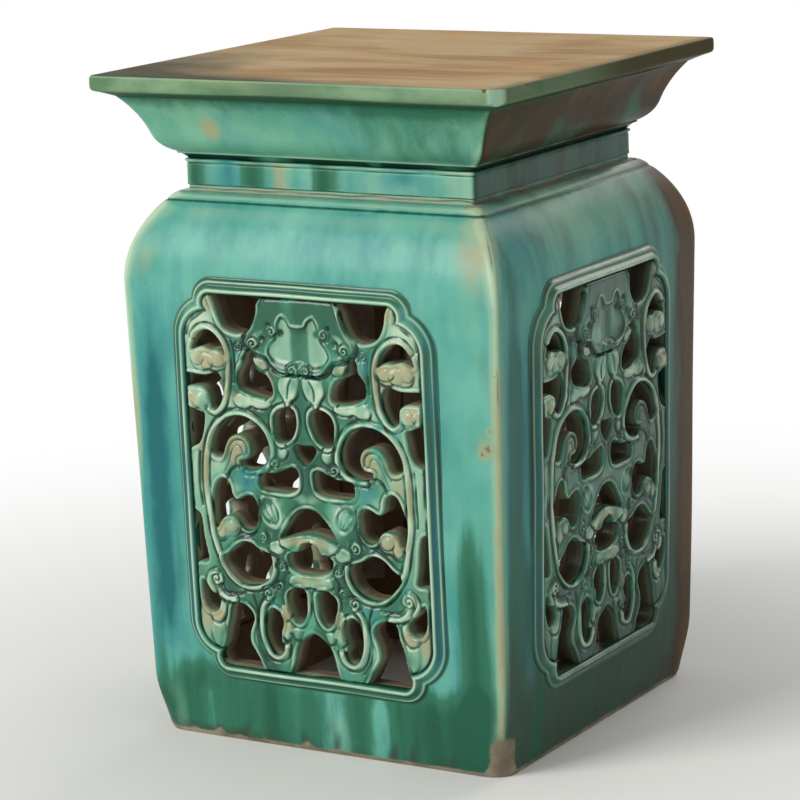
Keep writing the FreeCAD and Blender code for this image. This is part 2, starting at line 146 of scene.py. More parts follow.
# Openings on the middle line, right half from the bottom to the top; the left is mirrored
MIDDLE_OPENINGS = {
    "diamond": (0.3, [(0, 17.3), (3.5, 19.8), (6.8, 24), (8.6, 28.5), (6, 31.6), (0, 31.2)]),
    "arch": (0.4, [(0, -28.8), (8, -30), (16, -32), (22.5, -34), (20.2, -29), (16.5, -23.5), (12, -18.3),
        (6.5, -14), (0, -12.5)]),
    "mouth": (0.5, [(0, -58.5), (8, -58), (14, -56), (17, -52), (17.6, -46.8), (13.5, -44.3), (8.7, -43),
        (7, -38.8), (4, -36.3), (0, -35.8)]),
    "bottom": (0.3, [(0, -136), (19, -136), (16.5, -121), (14.8, -113.5), (12, -107.5), (7, -103),
        (3, -100.3), (0, -99.5)]),
}

# Raised shield at the top of the tile and the dish sunk into it, right halves
SHIELD = [
    (0, 79.5), (8, 79.5), (15, 80.3), (21, 84.5), (25, 90), (32, 91.8), (39, 94.5), (42, 99), (40.5, 104.5),
    (36.3, 109.5), (33, 116), (31.6, 123), (31, 134), (0, 134)
]
DISH = [
    (0, 84.4), (9, 84.6), (15.5, 85.5), (21, 88.5), (23.7, 93.5), (22, 98.5), (18.5, 103), (16.2, 108),
    (15.8, 113), (12.5, 118.3), (8.2, 116.2), (6, 112.5), (3, 111.3), (0, 111)
]

# Long beads that frame several openings together
RINGS = [
    [(47, 9.4), (39, 10.0), (31, 13.0), (25.8, 19.5), (25.3, 28.5), (29, 38), (36, 45.3), (45, 49.3),
     (54, 49.4), (62, 46.6), (69, 41.2), (74.2, 33.5), (77.3, 25), (79, 15), (79.8, 5), (79.8, -5),
     (79.4, -16), (78, -27), (76, -38), (73.4, -48), (69.2, -57.5), (63, -66), (55, -71.5), (46.5, -72.5),
     (38, -70), (31.5, -64), (28.2, -56), (28.6, -48.5)],
    [(84.5, 100.8), (79.8, 105.8), (73.6, 107.5), (66.8, 105), (61, 99), (57.8, 90.5), (57.2, 81), (58, 71),
     (59.8, 60), (63.8, 52), (69.5, 48.3), (74.5, 50.5)],
    [(33.5, -78.5), (38, -83), (40.8, -90), (41.6, -99), (40.4, -108), (36.2, -116.5), (29.8, -119.3),
     (23.5, -116), (21.4, -110)],
    [(76.5, -73.2), (73.8, -78.2), (68.5, -81.3), (61, -82)],
    [(76.4, -63.4), (80.3, -66), (82.3, -71), (79.5, -77.5)],
]

# Curls: across, up, radius, angle of the outer end in degrees, hand
CURLS = [
    (76, -68.5, 5.2, 250, 1), (34, -74.3, 5.0, 300, 1), (22.5, -54, 4.0, 200, -1), (36, -35.5, 4.4, 120, 1),
    (25.5, -68, 3.6, 90, -1), (22.5, 16.2, 4.2, 30, 1), (20.8, 107.8, 4.0, 200, 1), (35.5, 98.4, 4.4, 200, 1),
    (5.2, 82.4, 4.4, 90, -1), (48.5, 95.5, 3.2, 0, 1)
]

# Leaves: raised lumps with a groove and a painted shadow line under them. Rise, paleness and outline
LEAVES = [
    (1.1, 0.7, [(1.4, 77), (6, 78.3), (12, 77.8), (17, 74.8), (17.6, 68), (14.6, 62.8), (11.2, 57), (8, 61),
        (4.4, 63.6), (1.5, 70)]),
    (0.5, 0.3, [(58.5, 87.5), (63, 91), (69, 91.3), (74, 89), (77.5, 91.8), (82.5, 92.3), (86.6, 86),
        (84.4, 79.3), (78.5, 77.4), (72.5, 78.6), (66, 77.6), (60, 80.3)]),
    (0.5, 0.3, [(75.3, 62.3), (80, 64.4), (86, 64), (92, 62.5), (93.5, 56), (90, 50.8), (84, 51.8),
        (79.6, 50.3), (75.8, 53.5), (74.6, 58)]),
    (0.5, 0.3, [(55.3, -26), (59.3, -22.6), (64.3, -23), (68.3, -24), (72, -27), (74, -33), (72.3, -39.6),
        (68.4, -40), (64, -36.5), (59, -36), (55.3, -32)]),
    (1.1, 0.75, [(69.6, -86), (74.2, -84.3), (79.3, -88), (82.3, -93.5), (80, -98.3), (75, -98.6),
        (71, -94)]),
    (0.8, 0.3, [(71.8, -99.6), (76, -100.6), (80.7, -99.6), (82.6, -106), (80.3, -114), (76.6, -117),
        (73.6, -110)]),
    (1.1, 0.75, [(25, 82.4), (29, 80.5), (33.5, 82.7), (35.6, 87), (33.5, 91), (29, 90.3), (26, 87)]),
    (1.0, 0.6, [(24.8, 57.4), (29, 54.6), (35, 54), (40, 55.4), (45, 53.2), (51, 54), (53, 59), (49.3, 63.4),
        (43.6, 61.6), (38, 61.6), (31, 60.4), (26.4, 60.2)]),
    (0.9, 0.55, [(18.6, -83), (21.8, -81), (25.2, -83.5), (24.6, -88.6), (23.4, -92.4), (24.6, -98),
        (24.4, -103), (21, -106), (17, -102.4), (15, -98), (18.4, -92.6), (17.6, -87.6)]),
    (0.8, 0.5, [(9, -98.3), (13, -96), (16.3, -98.6), (15.6, -103.3), (12, -104.4)]),
    (0.9, 0.55, [(20.6, -37.6), (26, -36.6), (31.4, -38.8), (31.6, -44), (26, -46.6), (20.4, -44.4)]),
    (0.9, 0.6, [(0, -59.6), (8, -59.2), (15, -60.2), (17.4, -65), (11, -67.6), (0, -66.6)]),
    (1.2, 0.85, [(0, -29.4), (8, -30.6), (16, -32.8), (23.5, -35.6), (19.5, -40.6), (13, -43.2), (8.2, -42),
        (5.6, -37), (0, -34.6)]),
]

# Places covered with small lumpy leaves: across, up, reach across, reach up, strength
FOLIAGE = [
    (30, 103, 9, 12, 0.8), (43, 92, 6, 8, 0.8), (72, 85, 15, 8, 0.9), (83, 57, 10, 7, 0.9),
    (60, 60, 5, 8, 0.4), (66, -31, 9, 8, 0.9), (29.5, -17, 9, 11, 0.8), (28, -38, 10, 7, 0.7),
    (22, -60, 7, 8, 0.5), (24, -92, 6, 14, 0.9), (78, -92, 8, 10, 0.8), (70, -70, 9, 7, 0.6),
    (38, 57, 15, 5, 0.7), (8, 68, 10, 10, 0.35), (8, -40, 12, 6, 0.4), (52, 8, 9, 6, 0.6),
    (15, 25, 6, 9, 0.5), (86, 112, 8, 8, 0.3)
]

# Domes: across, up, radius across, radius up, height
DOMES = [
    (65.5, 85.5, 6.6, 5.0, 1.2), (74, 84.0, 5.0, 6.0, 1.5), (82, 86.5, 5.0, 5.5, 1.2),
    (81.5, 57, 6.0, 5.2, 1.4), (90, 57, 4.2, 5.4, 1.0), (61.5, -29.5, 5.0, 4.6, 1.3),
    (69.5, -32.5, 3.8, 6.2, 1.2), (47.5, 84, 3.6, 8.0, 0.9), (56, 57, 4.5, 6.0, 0.8),
    (60.5, -80.5, 8.0, 3.5, 0.8), (72, 124, 5.0, 6.0, 0.9), (16, 25.5, 5.0, 6.0, 0.6),
    (20.5, -110, 3.0, 5.0, 0.7), (86, -104, 5.0, 10.0, 0.5), (86, 5, 4.0, 18.0, 0.5)
]

# Pits: across, up, radius, depth
PITS = [
    (4.9, 78.5, 1.6, 1.4), (28.5, 102.5, 2.2, 1.9), (23.5, 112.5, 2.0, 1.6), (14.5, 107.5, 2.3, 1.6),
    (39.5, 93, 2.0, 1.6), (31, -70.5, 1.7, 1.7), (20, -92.5, 1.3, 1.0), (17.5, -101, 1.3, 1.0),
    (28, 60.5, 1.0, 0.8)
]

# Lines cut into the tile: width, height, points
STROKES = [
    (1.3, -1.5, [(0, 78.9), (8, 78.6), (15.5, 78.6), (22, 81.8), (26, 87.6), (33, 89.4), (40.5, 92.4),
        (44.4, 98.5), (43, 105)]),
    (1.0, -1.1, [(14.5, 31), (12.4, 25.5), (14.6, 20.5), (19, 17.5)]),
    (1.2, -1.4, [(52, 13), (57.5, 11.8), (61, 8.2), (62.2, 4.0)]),
    (0.8, -0.7, [(7, 75.5), (9.6, 70.5), (10.4, 63)]),
    (0.7, -0.7, [(45.6, 21), (46, 27), (51.5, 31), (58.3, 28.6), (62.3, 21.5), (66.6, 12.5)]),
    (0.7, -0.7, [(49.6, 21.6), (51, 26.3), (55.4, 26.4), (58.6, 22), (60.8, 16.5), (65, 8)]),
    (1.1, -1.2, [(72.8, -72), (69, -76.2), (62, -77.6), (54, -77)]),
    (1.1, -1.2, [(54, 99), (52.3, 91), (51.9, 81), (53, 70)]),
    (1.0, -1.1, [(17.5, -58), (21.5, -61.8), (21.2, -67.2)]),
    (1.0, -1.0, [(46.5, -78), (43.8, -88), (45, -97), (45.9, -106), (43.5, -115), (38, -123)]),
    (1.1, -1.2, [(83.8, 20), (84.9, 8), (85.2, -6), (84.4, -17)]),
    (1.1, -1.1, [(74, 118.5), (79.5, 114.8), (86.5, 109.5), (89.6, 101)]),
    (1.1, -1.2, [(37.5, -10), (37.9, -18), (38.6, -26), (41.6, -31.5), (47, -35.2), (54, -34.2)]),
]

# Ochre places, where the glaze is thinnest: across, up, reach across, reach up, strength
OCHRE = [
    (54, 24, 12, 12, 1.3), (72, 84, 14, 8, 1.2), (84, 58, 10, 7, 1.1), (73, 124, 8, 9, 1.1),
    (66, -31, 10, 8, 1.1), (88, -92, 7, 20, 0.8), (72, 8, 8, 14, 0.7), (76, -95, 7, 7, 0.9),
    (6, -36, 16, 6, 1.3), (59, 80, 4, 22, 0.9), (25, 70, 5, 10, 0.8), (30, 86, 8, 6, 0.8),
    (8, -62, 11, 7, 0.8), (82, 8, 4, 22, 0.9), (10, 112, 4, 8, 0.4), (50, 112, 12, 14, 0.4),
    (21, -90, 6, 12, 0.9), (11, -80, 9, 12, 0.5), (52, 60, 8, 5, 0.6), (86, 100, 6, 16, 0.6)
]

# Deep green places and blue ones: across, up, reach across, reach up
EMERALD = [
    (24, 120, 12, 12), (0, 125, 24, 10), (32, -34, 12, 11), (22, -58, 9, 18), (28, -68, 10, 8),
    (14, 24, 8, 12), (62, -66, 18, 8), (84, -64, 9, 9), (76, -104, 6, 12), (38, 54, 14, 5), (20, 84, 16, 4),
    (45, -120, 10, 10), (0, 20, 9, 14), (58, 62, 4, 12)
]
BLUE = [(46, 2, 9, 9), (24, -18, 8, 9), (44, -78, 10, 7), (47, -96, 5, 18), (50, 92, 6, 10), (84, 34, 5, 18)]

# Pale turquoise places, as the two lists above
PALE = [
    (20, -116, 14, 9), (49, -108, 7, 14), (33, 58, 18, 5), (46, 107, 10, 7), (80, 112, 12, 10),
    (16, 27, 5, 8), (68, 12, 8, 8), (12, -3, 14, 4), (56, -4, 8, 6), (74, -76, 6, 5), (21, -22, 8, 7),
    (24, -11, 9, 5), (2, -8, 7, 4), (0, -75, 4, 14), (13, -58, 7, 5), (24, -44, 7, 5), (30, -88, 5, 6),
    (13, 56, 6, 8), (52, 55, 9, 4)
]

# The oval shell between waist and leaf: centre, radii, tilt
SHELL = (29.5, -17.0, 7.6, 10.5, math.radians(-25))


def srgb(red, green, blue):
    """A linear colour from its 0 to 255 screen values."""
    out = []
    for value in (red, green, blue):
        part = value / 255
        out.append(part / 12.92 if part <= 0.04045 else ((part + 0.055) / 1.055) ** 2.4)
    return (*out, 1.0)


def soft_step(low, high, value):
    part = np.clip((value - low) / (high - low), 0, 1)
    return part * part * (3 - 2 * part)


def bump(value, centre, width):
    return np.exp(-((value - centre) / width) ** 2)


def waves(points, length, seed):
    """Smooth random unevenness between about -1 and 1, with features of the given length."""
    rng = np.random.default_rng(seed)
    total = np.zeros(len(points))
    for _ in range(7):
        way = rng.normal(size=3)
        way *= 2 * math.pi / (length * rng.uniform(0.8, 1.9)) / np.linalg.norm(way)
        total += np.sin(points @ way + rng.uniform(0, 2 * math.pi))
    return total / 3.2


def tangent_arc(start, way, end, count):
    """Points of the arc that leaves start along way and arrives at end, and its last direction."""
    start, end, way = np.array(start), np.array(end), np.array(way) / np.linalg.norm(way)
    chord = end - start
    side = np.array([-way[1], way[0]])
    radius = chord @ chord / (2 * chord @ side)
    centre = start + side * radius
    first = math.atan2(*(start - centre)[::-1])
    turn = 2 * (math.atan2(chord[1], chord[0]) - math.atan2(way[1], way[0]))
    angles = first + np.linspace(0, turn, count)
    points = centre + abs(radius) * np.stack([np.cos(angles), np.sin(angles)], 1)
    last = math.atan2(way[1], way[0]) + turn
    return points, (math.cos(last), math.sin(last))


WALL_WAY = np.array(SHOULDER) - np.array(ANKLE)
WALL_WAY = WALL_WAY / np.linalg.norm(WALL_WAY)


def foot_curve(count):
    """The wall's outline from the foot to the ankle."""
    points, _ = tangent_arc(ANKLE, -WALL_WAY, FOOT, count)
    return points[::-1]


def around_waves(along, right, length, seed):
    """Waves that run round the stool and are the same at every height."""
    return waves(np.column_stack([along, 90 * right, 0 * along]), length, seed)


def quarter(turn):
    """Cosine and sine of a number of quarter turns."""
    return (1, 0, -1, 0)[turn], (0, 1, 0, -1)[turn]


def rounded_square(half, radius, flats, rounds):
    """Points of a square outline with rounded corners, anticlockwise from the front's left end."""
    radius = min(radius, half * 0.98)
    flat = np.linspace(-(half - radius), half - radius, flats + 1)
    side = np.stack([flat, np.full(flats + 1, -half)], 1)
    angles = np.linspace(-math.pi / 2, 0, rounds + 1)[1:-1]
    corner = np.stack([np.cos(angles), np.sin(angles)], 1) * radius + (half - radius) * np.array([1, -1])
    points = np.concatenate([side, corner])
    loops = []
    for turn in range(4):
        c, s = quarter(turn)
        loops.append(points @ np.array([[c, s], [-s, c]]))
    return np.concatenate(loops)


def ring_quads(around, count, closed=True):
    """Quads between rings of points, from each ring to the next and, if closed, to the first."""
    faces = []
    for row in range(count if closed else count - 1):
        here, after = row * around, (row + 1) % count * around
        for i in range(around):
            j = (i + 1) % around
            faces.append((here + i, here + j, after + j, after + i))
    return faces


def square_rings(profile, flats, rounds, closed=True):
    """Vertices and quads of rounded squares joined in order. Each row of profile begins with
    the half width, the height and the radius of the corners."""
    around = 4 * (flats + rounds)
    rows = []
    for half, height, radius, *_ in profile:
        ring = rounded_square(half, radius, flats, rounds)
        rows.append(np.column_stack([ring, np.full(around, height)]))
    return np.concatenate(rows), ring_quads(around, len(rows), closed)


def along_rings(rows, column, count):
    """One column of a profile's rows, for each of count points."""
    return np.repeat([row[column] for row in rows], count // len(rows))


def turned(points, turn):
    """Points turned by quarter turns about Z."""
    c, s = quarter(turn)
    return points @ np.array([[c, s, 0], [-s, c, 0], [0, 0, 1]])


def on_panel(points):
    """Points drawn flat on the window (across, up, out) placed on the front wall."""
    along = (PANEL_HEIGHT - ANKLE[1]) / WALL_WAY[1]
    out, height = np.array(ANKLE) + WALL_WAY * along
    across, up, proud = points.T
    return np.column_stack([
        PANEL_OFFSET + across,
        -out - up * WALL_WAY[0] - proud * WALL_WAY[1],
        height + up * WALL_WAY[1] - proud * WALL_WAY[0],
    ])


def set_marks(mesh, marks):
    """Stores named values on the points of a mesh. A mark that is left out reads as zero."""
    for mark, values in marks.items():
        data = mesh.attributes.new(mark, "FLOAT", "POINT")
        data.data.foreach_set("value", np.asarray(values, dtype=np.float32))


def shade(mesh, sharp):
    """Smooth shading, with edges kept sharp above an angle in degrees."""
    mesh.shade_smooth()
    mesh.set_sharp_from_angle(angle=math.radians(sharp))


def make_object(name, verts, faces, marks, material, nodes, sharp):
    """A piece of the stool from millimetre vertices, with named values on its points."""
    mesh = bpy.data.meshes.new(name)
    mesh.from_pydata((np.asarray(verts) / 1000).tolist(), [], faces)
    mesh.validate()
    shade(mesh, sharp)
    set_marks(mesh, marks)
    mesh.materials.append(material)
    piece = bpy.data.objects.new(name, mesh)
    bpy.context.scene.collection.objects.link(piece)
    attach(piece, "root")
    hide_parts(*nodes)
    return piece


# Materials

class Nodes:
    """Short names for the shader nodes used here."""

    def __init__(self, owner):
        owner.use_nodes = True
        self.tree = owner.node_tree
        self.tree.nodes.clear()

    def add(self, kind, **settings):
        node = self.tree.nodes.new(kind)
        for key, value in settings.items():
            setattr(node, key, value)
        return node

    def put(self, socket, value):
        if isinstance(value, bpy.types.NodeSocket):
            self.tree.links.new(value, socket)
        else:
            socket.default_value = value

    def fill(self, node, values):
        """Puts values into a node's inputs in order."""
        for socket, value in zip(node.inputs, values):
            self.put(socket, value)
        return node.outputs[0]

    def math(self, operation, a, b, clamp=False):
        return self.fill(self.add("ShaderNodeMath", operation=operation, use_clamp=clamp), (a, b))

    def plus(self, value, more, weight):
        """value + more * weight"""
        return self.math("ADD", value, self.math("MULTIPLY", more, weight))

    def vary(self, value, noise, weight):
        """value moved up and down by a noise"""
        return self.plus(value, self.math("SUBTRACT", noise, 0.5), weight)

    def step(self, value, low, high, to_low=0.0, to_high=1.0):
        node = self.add("ShaderNodeMapRange", interpolation_type="SMOOTHSTEP")
        return self.fill(node, (value, low, high, to_low, to_high))

    def mix(self, factor, a, b):
        node = self.add("ShaderNodeMix", data_type="RGBA", blend_type="MIX", clamp_factor=True)
        self.put(node.inputs[0], factor)
        self.put(node.inputs[6], a)
        self.put(node.inputs[7], b)
        return node.outputs[2]

    def between(self, value, low, high, first, last):
        """From one colour to another as value goes from low to high."""
        return self.mix(self.step(value, low, high), srgb(*first), srgb(*last))

    def lay(self, colour, layers):
        """Lays colours over colour. A layer is value, low, high, most and its colour."""
        for value, low, high, most, over in layers:
            colour = self.mix(self.step(value, low, high, 0.0, most), colour, srgb(*over))
        return colour

    def mark(self, name):
        return self.add("ShaderNodeAttribute", attribute_name=name).outputs["Fac"]

    def place(self, scale=(1, 1, 1), offset=(0, 0, 0)):
        """The place on the object, moved and scaled."""
        spot = self.add("ShaderNodeTexCoord").outputs["Object"]
        return self.fill(self.add("ShaderNodeMapping"), (spot, offset, (0, 0, 0), scale))

    def noise(self, scale, detail=3.0, rough=0.5, offset=(0, 0, 0), distortion=0.0):
        node = self.add("ShaderNodeTexNoise")
        self.put(node.inputs["Vector"], self.place(scale, offset))
        self.put(node.inputs["Scale"], 1.0)
        self.put(node.inputs["Detail"], detail)
        self.put(node.inputs["Roughness"], rough)
        self.put(node.inputs["Distortion"], distortion)
        return node.outputs["Fac"]

    def finish(self, colour, rough, height, strength, depth, ior=1.4):
        shader = self.add("ShaderNodeBsdfPrincipled")
        shader.inputs["IOR"].default_value = ior
        self.put(shader.inputs["Base Color"], colour)
        self.put(shader.inputs["Roughness"], rough)
        bumps = self.add("ShaderNodeBump")
        bumps.inputs["Strength"].default_value = strength
        bumps.inputs["Distance"].default_value = depth
        self.put(bumps.inputs["Height"], height)
        self.put(shader.inputs["Normal"], bumps.outputs[0])
        self.put(self.add("ShaderNodeOutputMaterial").inputs[0], shader.outputs[0])


def chip_layers(n, chips, grain):
    """A thin halo and a core of bare clay at each chip, with a ragged edge."""
    layers = []
    for place, radius in chips:
        away = n.add("ShaderNodeVectorMath", operation="DISTANCE")
        n.put(away.inputs[0], n.place())
        n.put(away.inputs[1], place)
        ragged = n.vary(away.outputs["Value"], grain, 0.006)
        layers.append((ragged, radius * 3.6, radius * 1.0, 0.7, (158, 166, 130)))
        layers.append((ragged, radius * 0.85, radius * 0.4, 0.85, (132, 92, 68)))
    return layers


def glaze(name, light=(84, 164, 148), paler=(114, 184, 168), streaks=1.0, rough=0.15, ior=1.22, chips=()):
    """Glossy copper glaze that ran down the clay: turquoise with blue and green runs, thin and
    pale on what stands out, dark where it pooled and where shade is painted, darker with painted
    shade and browner with a painted reflection on the right side, and gone where the clay shows."""
    material = bpy.data.materials.new(name)
    n = Nodes(material)
    patches = n.noise((16, 16, 12), 4.0, 0.55)
    clouds = n.noise((34, 34, 20), 3.0, 0.55, (5, 9, 1), 0.6)
    wide_runs = n.noise((36, 36, 3.4), 3.0, 0.5, (3, 1, 0), 0.3)
    thin_runs = n.noise((120, 120, 8.0), 3.0, 0.55, (7, 2, 5), 0.2)
    other_runs = n.noise((50, 50, 4.4), 3.0, 0.5, (11, 5, 2), 0.3)
    grain = n.noise((620, 620, 620), 2.0, 0.6)
    runs = n.math("MULTIPLY", n.math("SUBTRACT", thin_runs, 0.5), streaks)
    blue = n.plus(n.math("MULTIPLY", n.mark("blue"), 0.8), wide_runs, 0.6)
    blue = n.vary(n.plus(blue, runs, 0.35), clouds, 0.55)
    green = n.plus(n.math("MULTIPLY", n.mark("green"), 0.85), other_runs, 0.45)
    green = n.plus(n.plus(green, grain, 0.12), runs, 0.5)
    pale = n.vary(n.vary(n.mark("pale"), patches, 0.5), clouds, 0.4)
    ochre = n.vary(n.mark("ochre"), clouds, 0.9)
    painted_shade_and_mottle = n.vary(n.vary(n.mark("painted_shade_and_mottle"), other_runs, 1.0), patches, 0.7)
    brown = n.vary(n.vary(n.mark("brown"), clouds, 1.1), patches, 0.6)
    pool_and_shade = n.plus(n.mark("pool_and_shade"), runs, 0.4)
    colour = n.lay(n.between(patches, 0.35, 0.68, light, paler), [
        (clouds, 0.52, 0.75, 0.5, (112, 172, 140)),
        (blue, 0.42, 0.80, 0.75, (58, 140, 142)),
        (blue, 0.72, 1.1, 0.85, (28, 98, 104)),
        (green, 0.45, 0.85, 0.9, (50, 110, 84)),
        (green, 0.85, 1.25, 0.7, (30, 84, 64)),
        # Pale where the glaze runs thin, and in places painted highlights and reflections
        (pale, 0.25, 0.95, 0.9, (146, 190, 162)),
        (pale, 0.85, 1.4, 0.8, (192, 214, 184)),
        (ochre, 0.2, 0.8, 0.88, (164, 162, 124)),
        # Painted shade: dark grey-green over the right side; elsewhere darker mottling at the foot
        (painted_shade_and_mottle, 0.2, 0.9, 0.85, (56, 74, 66)),
        # Brown: a painted reflection of warm surroundings on the right side; at the foot of the other sides
        # the glaze's own brown
        (brown, 0.3, 0.9, 0.95, (62, 48, 24)),
        (brown, 0.95, 1.5, 0.6, (98, 72, 40)),
        # Dark where the glaze pooled, and painted shade and shadow lines
        (pool_and_shade, 0.12, 0.6, 0.85, (32, 92, 70)),
        (pool_and_shade, 0.55, 1.0, 0.9, (12, 40, 34)),
        *chip_layers(n, chips, grain),
    ])
    clay = n.step(n.vary(n.vary(n.mark("clay"), clouds, 0.6), grain, 0.3), 0.4, 0.7)
    clay_colour = n.between(clouds, 0.35, 0.7, (120, 112, 92), (156, 148, 128))
    clay_colour = n.lay(clay_colour, [(grain, 0.58, 0.75, 0.4, (82, 72, 58))])
    colour = n.mix(clay, colour, clay_colour)
    inside = n.mark("inside")
    thin_wall = n.between(clouds, 0.4, 0.65, (160, 158, 130), (132, 142, 118))
    clay_wall = n.between(patches, 0.3, 0.7, (132, 106, 84), (164, 138, 112))
    colour = n.mix(n.step(inside, 0.08, 0.35), colour, thin_wall)
    colour = n.lay(colour, [(inside, 0.42, 0.62, 1.0, (112, 98, 80))])
    colour = n.mix(n.step(inside, 0.72, 0.98), colour, clay_wall)
    edge_shade = n.math("MULTIPLY", n.step(inside, 0.1, 0.4), n.step(inside, 0.98, 0.8))
    edge_shade = n.math("MULTIPLY", edge_shade, n.step(n.mark("painted_shade_and_mottle"), 0.1, 0.6, 0.0, 0.8))
    colour = n.mix(edge_shade, colour, srgb(44, 42, 34))
    specks = n.add("ShaderNodeTexVoronoi", feature="F1")
    n.put(specks.inputs["Vector"], n.place((150, 150, 150)))
    n.put(specks.inputs["Scale"], 1.0)
    speck = n.math("MULTIPLY", n.step(specks.outputs["Distance"], 0.10, 0.04), n.step(grain, 0.55, 0.6))
    colour = n.mix(n.math("MULTIPLY", speck, 0.75), colour, srgb(84, 70, 52))
    dull = n.math("MAXIMUM", clay, n.step(inside, 0.45, 0.8))
    darkened = n.math("MAXIMUM", n.mark("brown"), n.mark("painted_shade_and_mottle"))
    shine = n.plus(n.plus(rough, patches, 0.18), darkened, 0.12)
    ripple = n.noise((75, 75, 26), 2.0, 0.5)
    height = n.plus(n.math("MULTIPLY", ripple, 0.9), grain, 0.06)
    height = n.plus(height, n.math("MULTIPLY", grain, dull), 0.5)
    height = n.math("SUBTRACT", height, n.math("MULTIPLY", speck, 0.25))
    n.finish(colour, n.math("MAXIMUM", shine, n.math("MULTIPLY", dull, 0.86)), height, 0.35, 0.0012, ior)
    return material


def seat_glaze():
    """The seat: a worn brown top with soft streaks across it, and a sage green edge, pale on the worn corner,
    with a painted highlight along the arris and painted shade on the right side.
    """
    material = bpy.data.materials.new("seat_glaze")
    n = Nodes(material)
    streaks = n.noise((5, 46, 30), 3.0, 0.5, (2, 4, 0), 0.8)
    broad = n.noise((6, 11, 9), 4.0, 0.55, (1, 7, 3), 0.8)
    grain = n.noise((420, 620, 560), 3.0, 0.6)
    patches = n.noise((20, 20, 40), 4.0, 0.55)
    rim = n.vary(n.vary(n.mark("rim"), patches, 0.8), streaks, 0.5)
    top = n.lay(n.between(broad, 0.36, 0.64, (162, 126, 80), (192, 162, 118)), [
        (streaks, 0.42, 0.68, 0.5, (194, 176, 146)),
        (streaks, 0.48, 0.3, 0.4, (150, 112, 68)),
        (patches, 0.58, 0.72, 0.35, (204, 160, 112)),
        (rim, 0.15, 0.75, 0.85, (116, 108, 82)),
        (rim, 0.65, 1.15, 0.9, (68, 66, 50)),
        (grain, 0.6, 0.75, 0.25, (98, 78, 56)),
    ])
    edge = n.lay(n.between(patches, 0.35, 0.68, (96, 130, 98), (132, 162, 128)), [
        (streaks, 0.5, 0.7, 0.4, (150, 164, 122)),
        (n.vary(n.mark("pool_and_shade"), patches, 0.4), 0.2, 0.7, 0.9, (46, 82, 58)),
    ])
    # Pale on the worn corner, and a painted highlight along the arris
    edge = n.mix(n.math("MULTIPLY", n.mark("pale"), 0.8), edge, srgb(168, 206, 180))
    # Painted shade on the right side's edge
    edge = n.lay(edge, [(n.vary(n.mark("painted_shade_and_mottle"), patches, 0.5), 0.3, 0.9, 0.95, (76, 68, 46))])
    colour = n.mix(n.step(n.vary(n.mark("top"), grain, 0.25), 0.4, 0.6), edge, top)
    clay = n.step(n.vary(n.mark("clay"), grain, 0.4), 0.4, 0.62)
    colour = n.mix(clay, colour, srgb(104, 92, 78))
    rough = n.plus(n.plus(0.24, patches, 0.2), n.mark("top"), 0.14)
    height = n.plus(n.math("MULTIPLY", patches, 0.8), grain, 0.25)
    n.finish(colour, n.math("MAXIMUM", rough, n.math("MULTIPLY", clay, 0.85)), height, 0.4, 0.001, 1.06)
    return material


def clay_material():
    """Bare fired clay: pinkish grey, gritty and matt."""
    material = bpy.data.materials.new("bare_clay")
    n = Nodes(material)
    patches = n.noise((45, 45, 45), 4.0, 0.6)
    grit = n.noise((900, 900, 900), 2.0, 0.6)
    colour = n.between(patches, 0.3, 0.7, (140, 120, 106), (180, 162, 146))
    colour = n.lay(colour, [(grit, 0.55, 0.75, 0.5, (84, 66, 56))])
    n.finish(colour, n.plus(0.72, grit, 0.2), n.plus(patches, grit, 0.4), 0.6, 0.0008)
    return material


# Chips of the glaze by the front right corner: place in metres and radius
WALL_CHIPS = [
    ((0.1345, -0.1440, 0.2255), 0.0030), ((0.1305, -0.1440, 0.2215), 0.0017),
    ((0.1365, -0.1440, 0.2370), 0.0014)
]

body_glaze = glaze("body_glaze", chips=WALL_CHIPS)
tile_glaze = glaze("fretwork_glaze", (50, 122, 92), (92, 164, 138), 0.5, 0.13, 1.42)
rim_glaze = glaze("rim_glaze", (70, 146, 126), (100, 174, 152), 0.5, 0.13, 1.42)
neck_glaze = glaze("neck_glaze", (84, 156, 142), (124, 184, 164), 0.35, 0.16, 1.25)
crown_glaze = glaze("crown_glaze", (98, 164, 142), (124, 184, 154), 0.3, 0.22, 1.15)
seat_material = seat_glaze()
bare_clay = clay_material()


# Where the glaze is thin, pooled or run

def side_marks(points):
    """How far a point is on the right side (0 to 1), its distance from the middle of its side
    towards the right, and the lesser of its distances across."""
    x, y, _ = points.T
    right = soft_step(-3.0, 3.0, x - np.abs(y)) * (x > 0)
    along = np.where(np.abs(x) > np.abs(y), y * np.sign(x), -x * np.sign(y))
    return right, along, np.minimum(np.abs(x), np.abs(y))


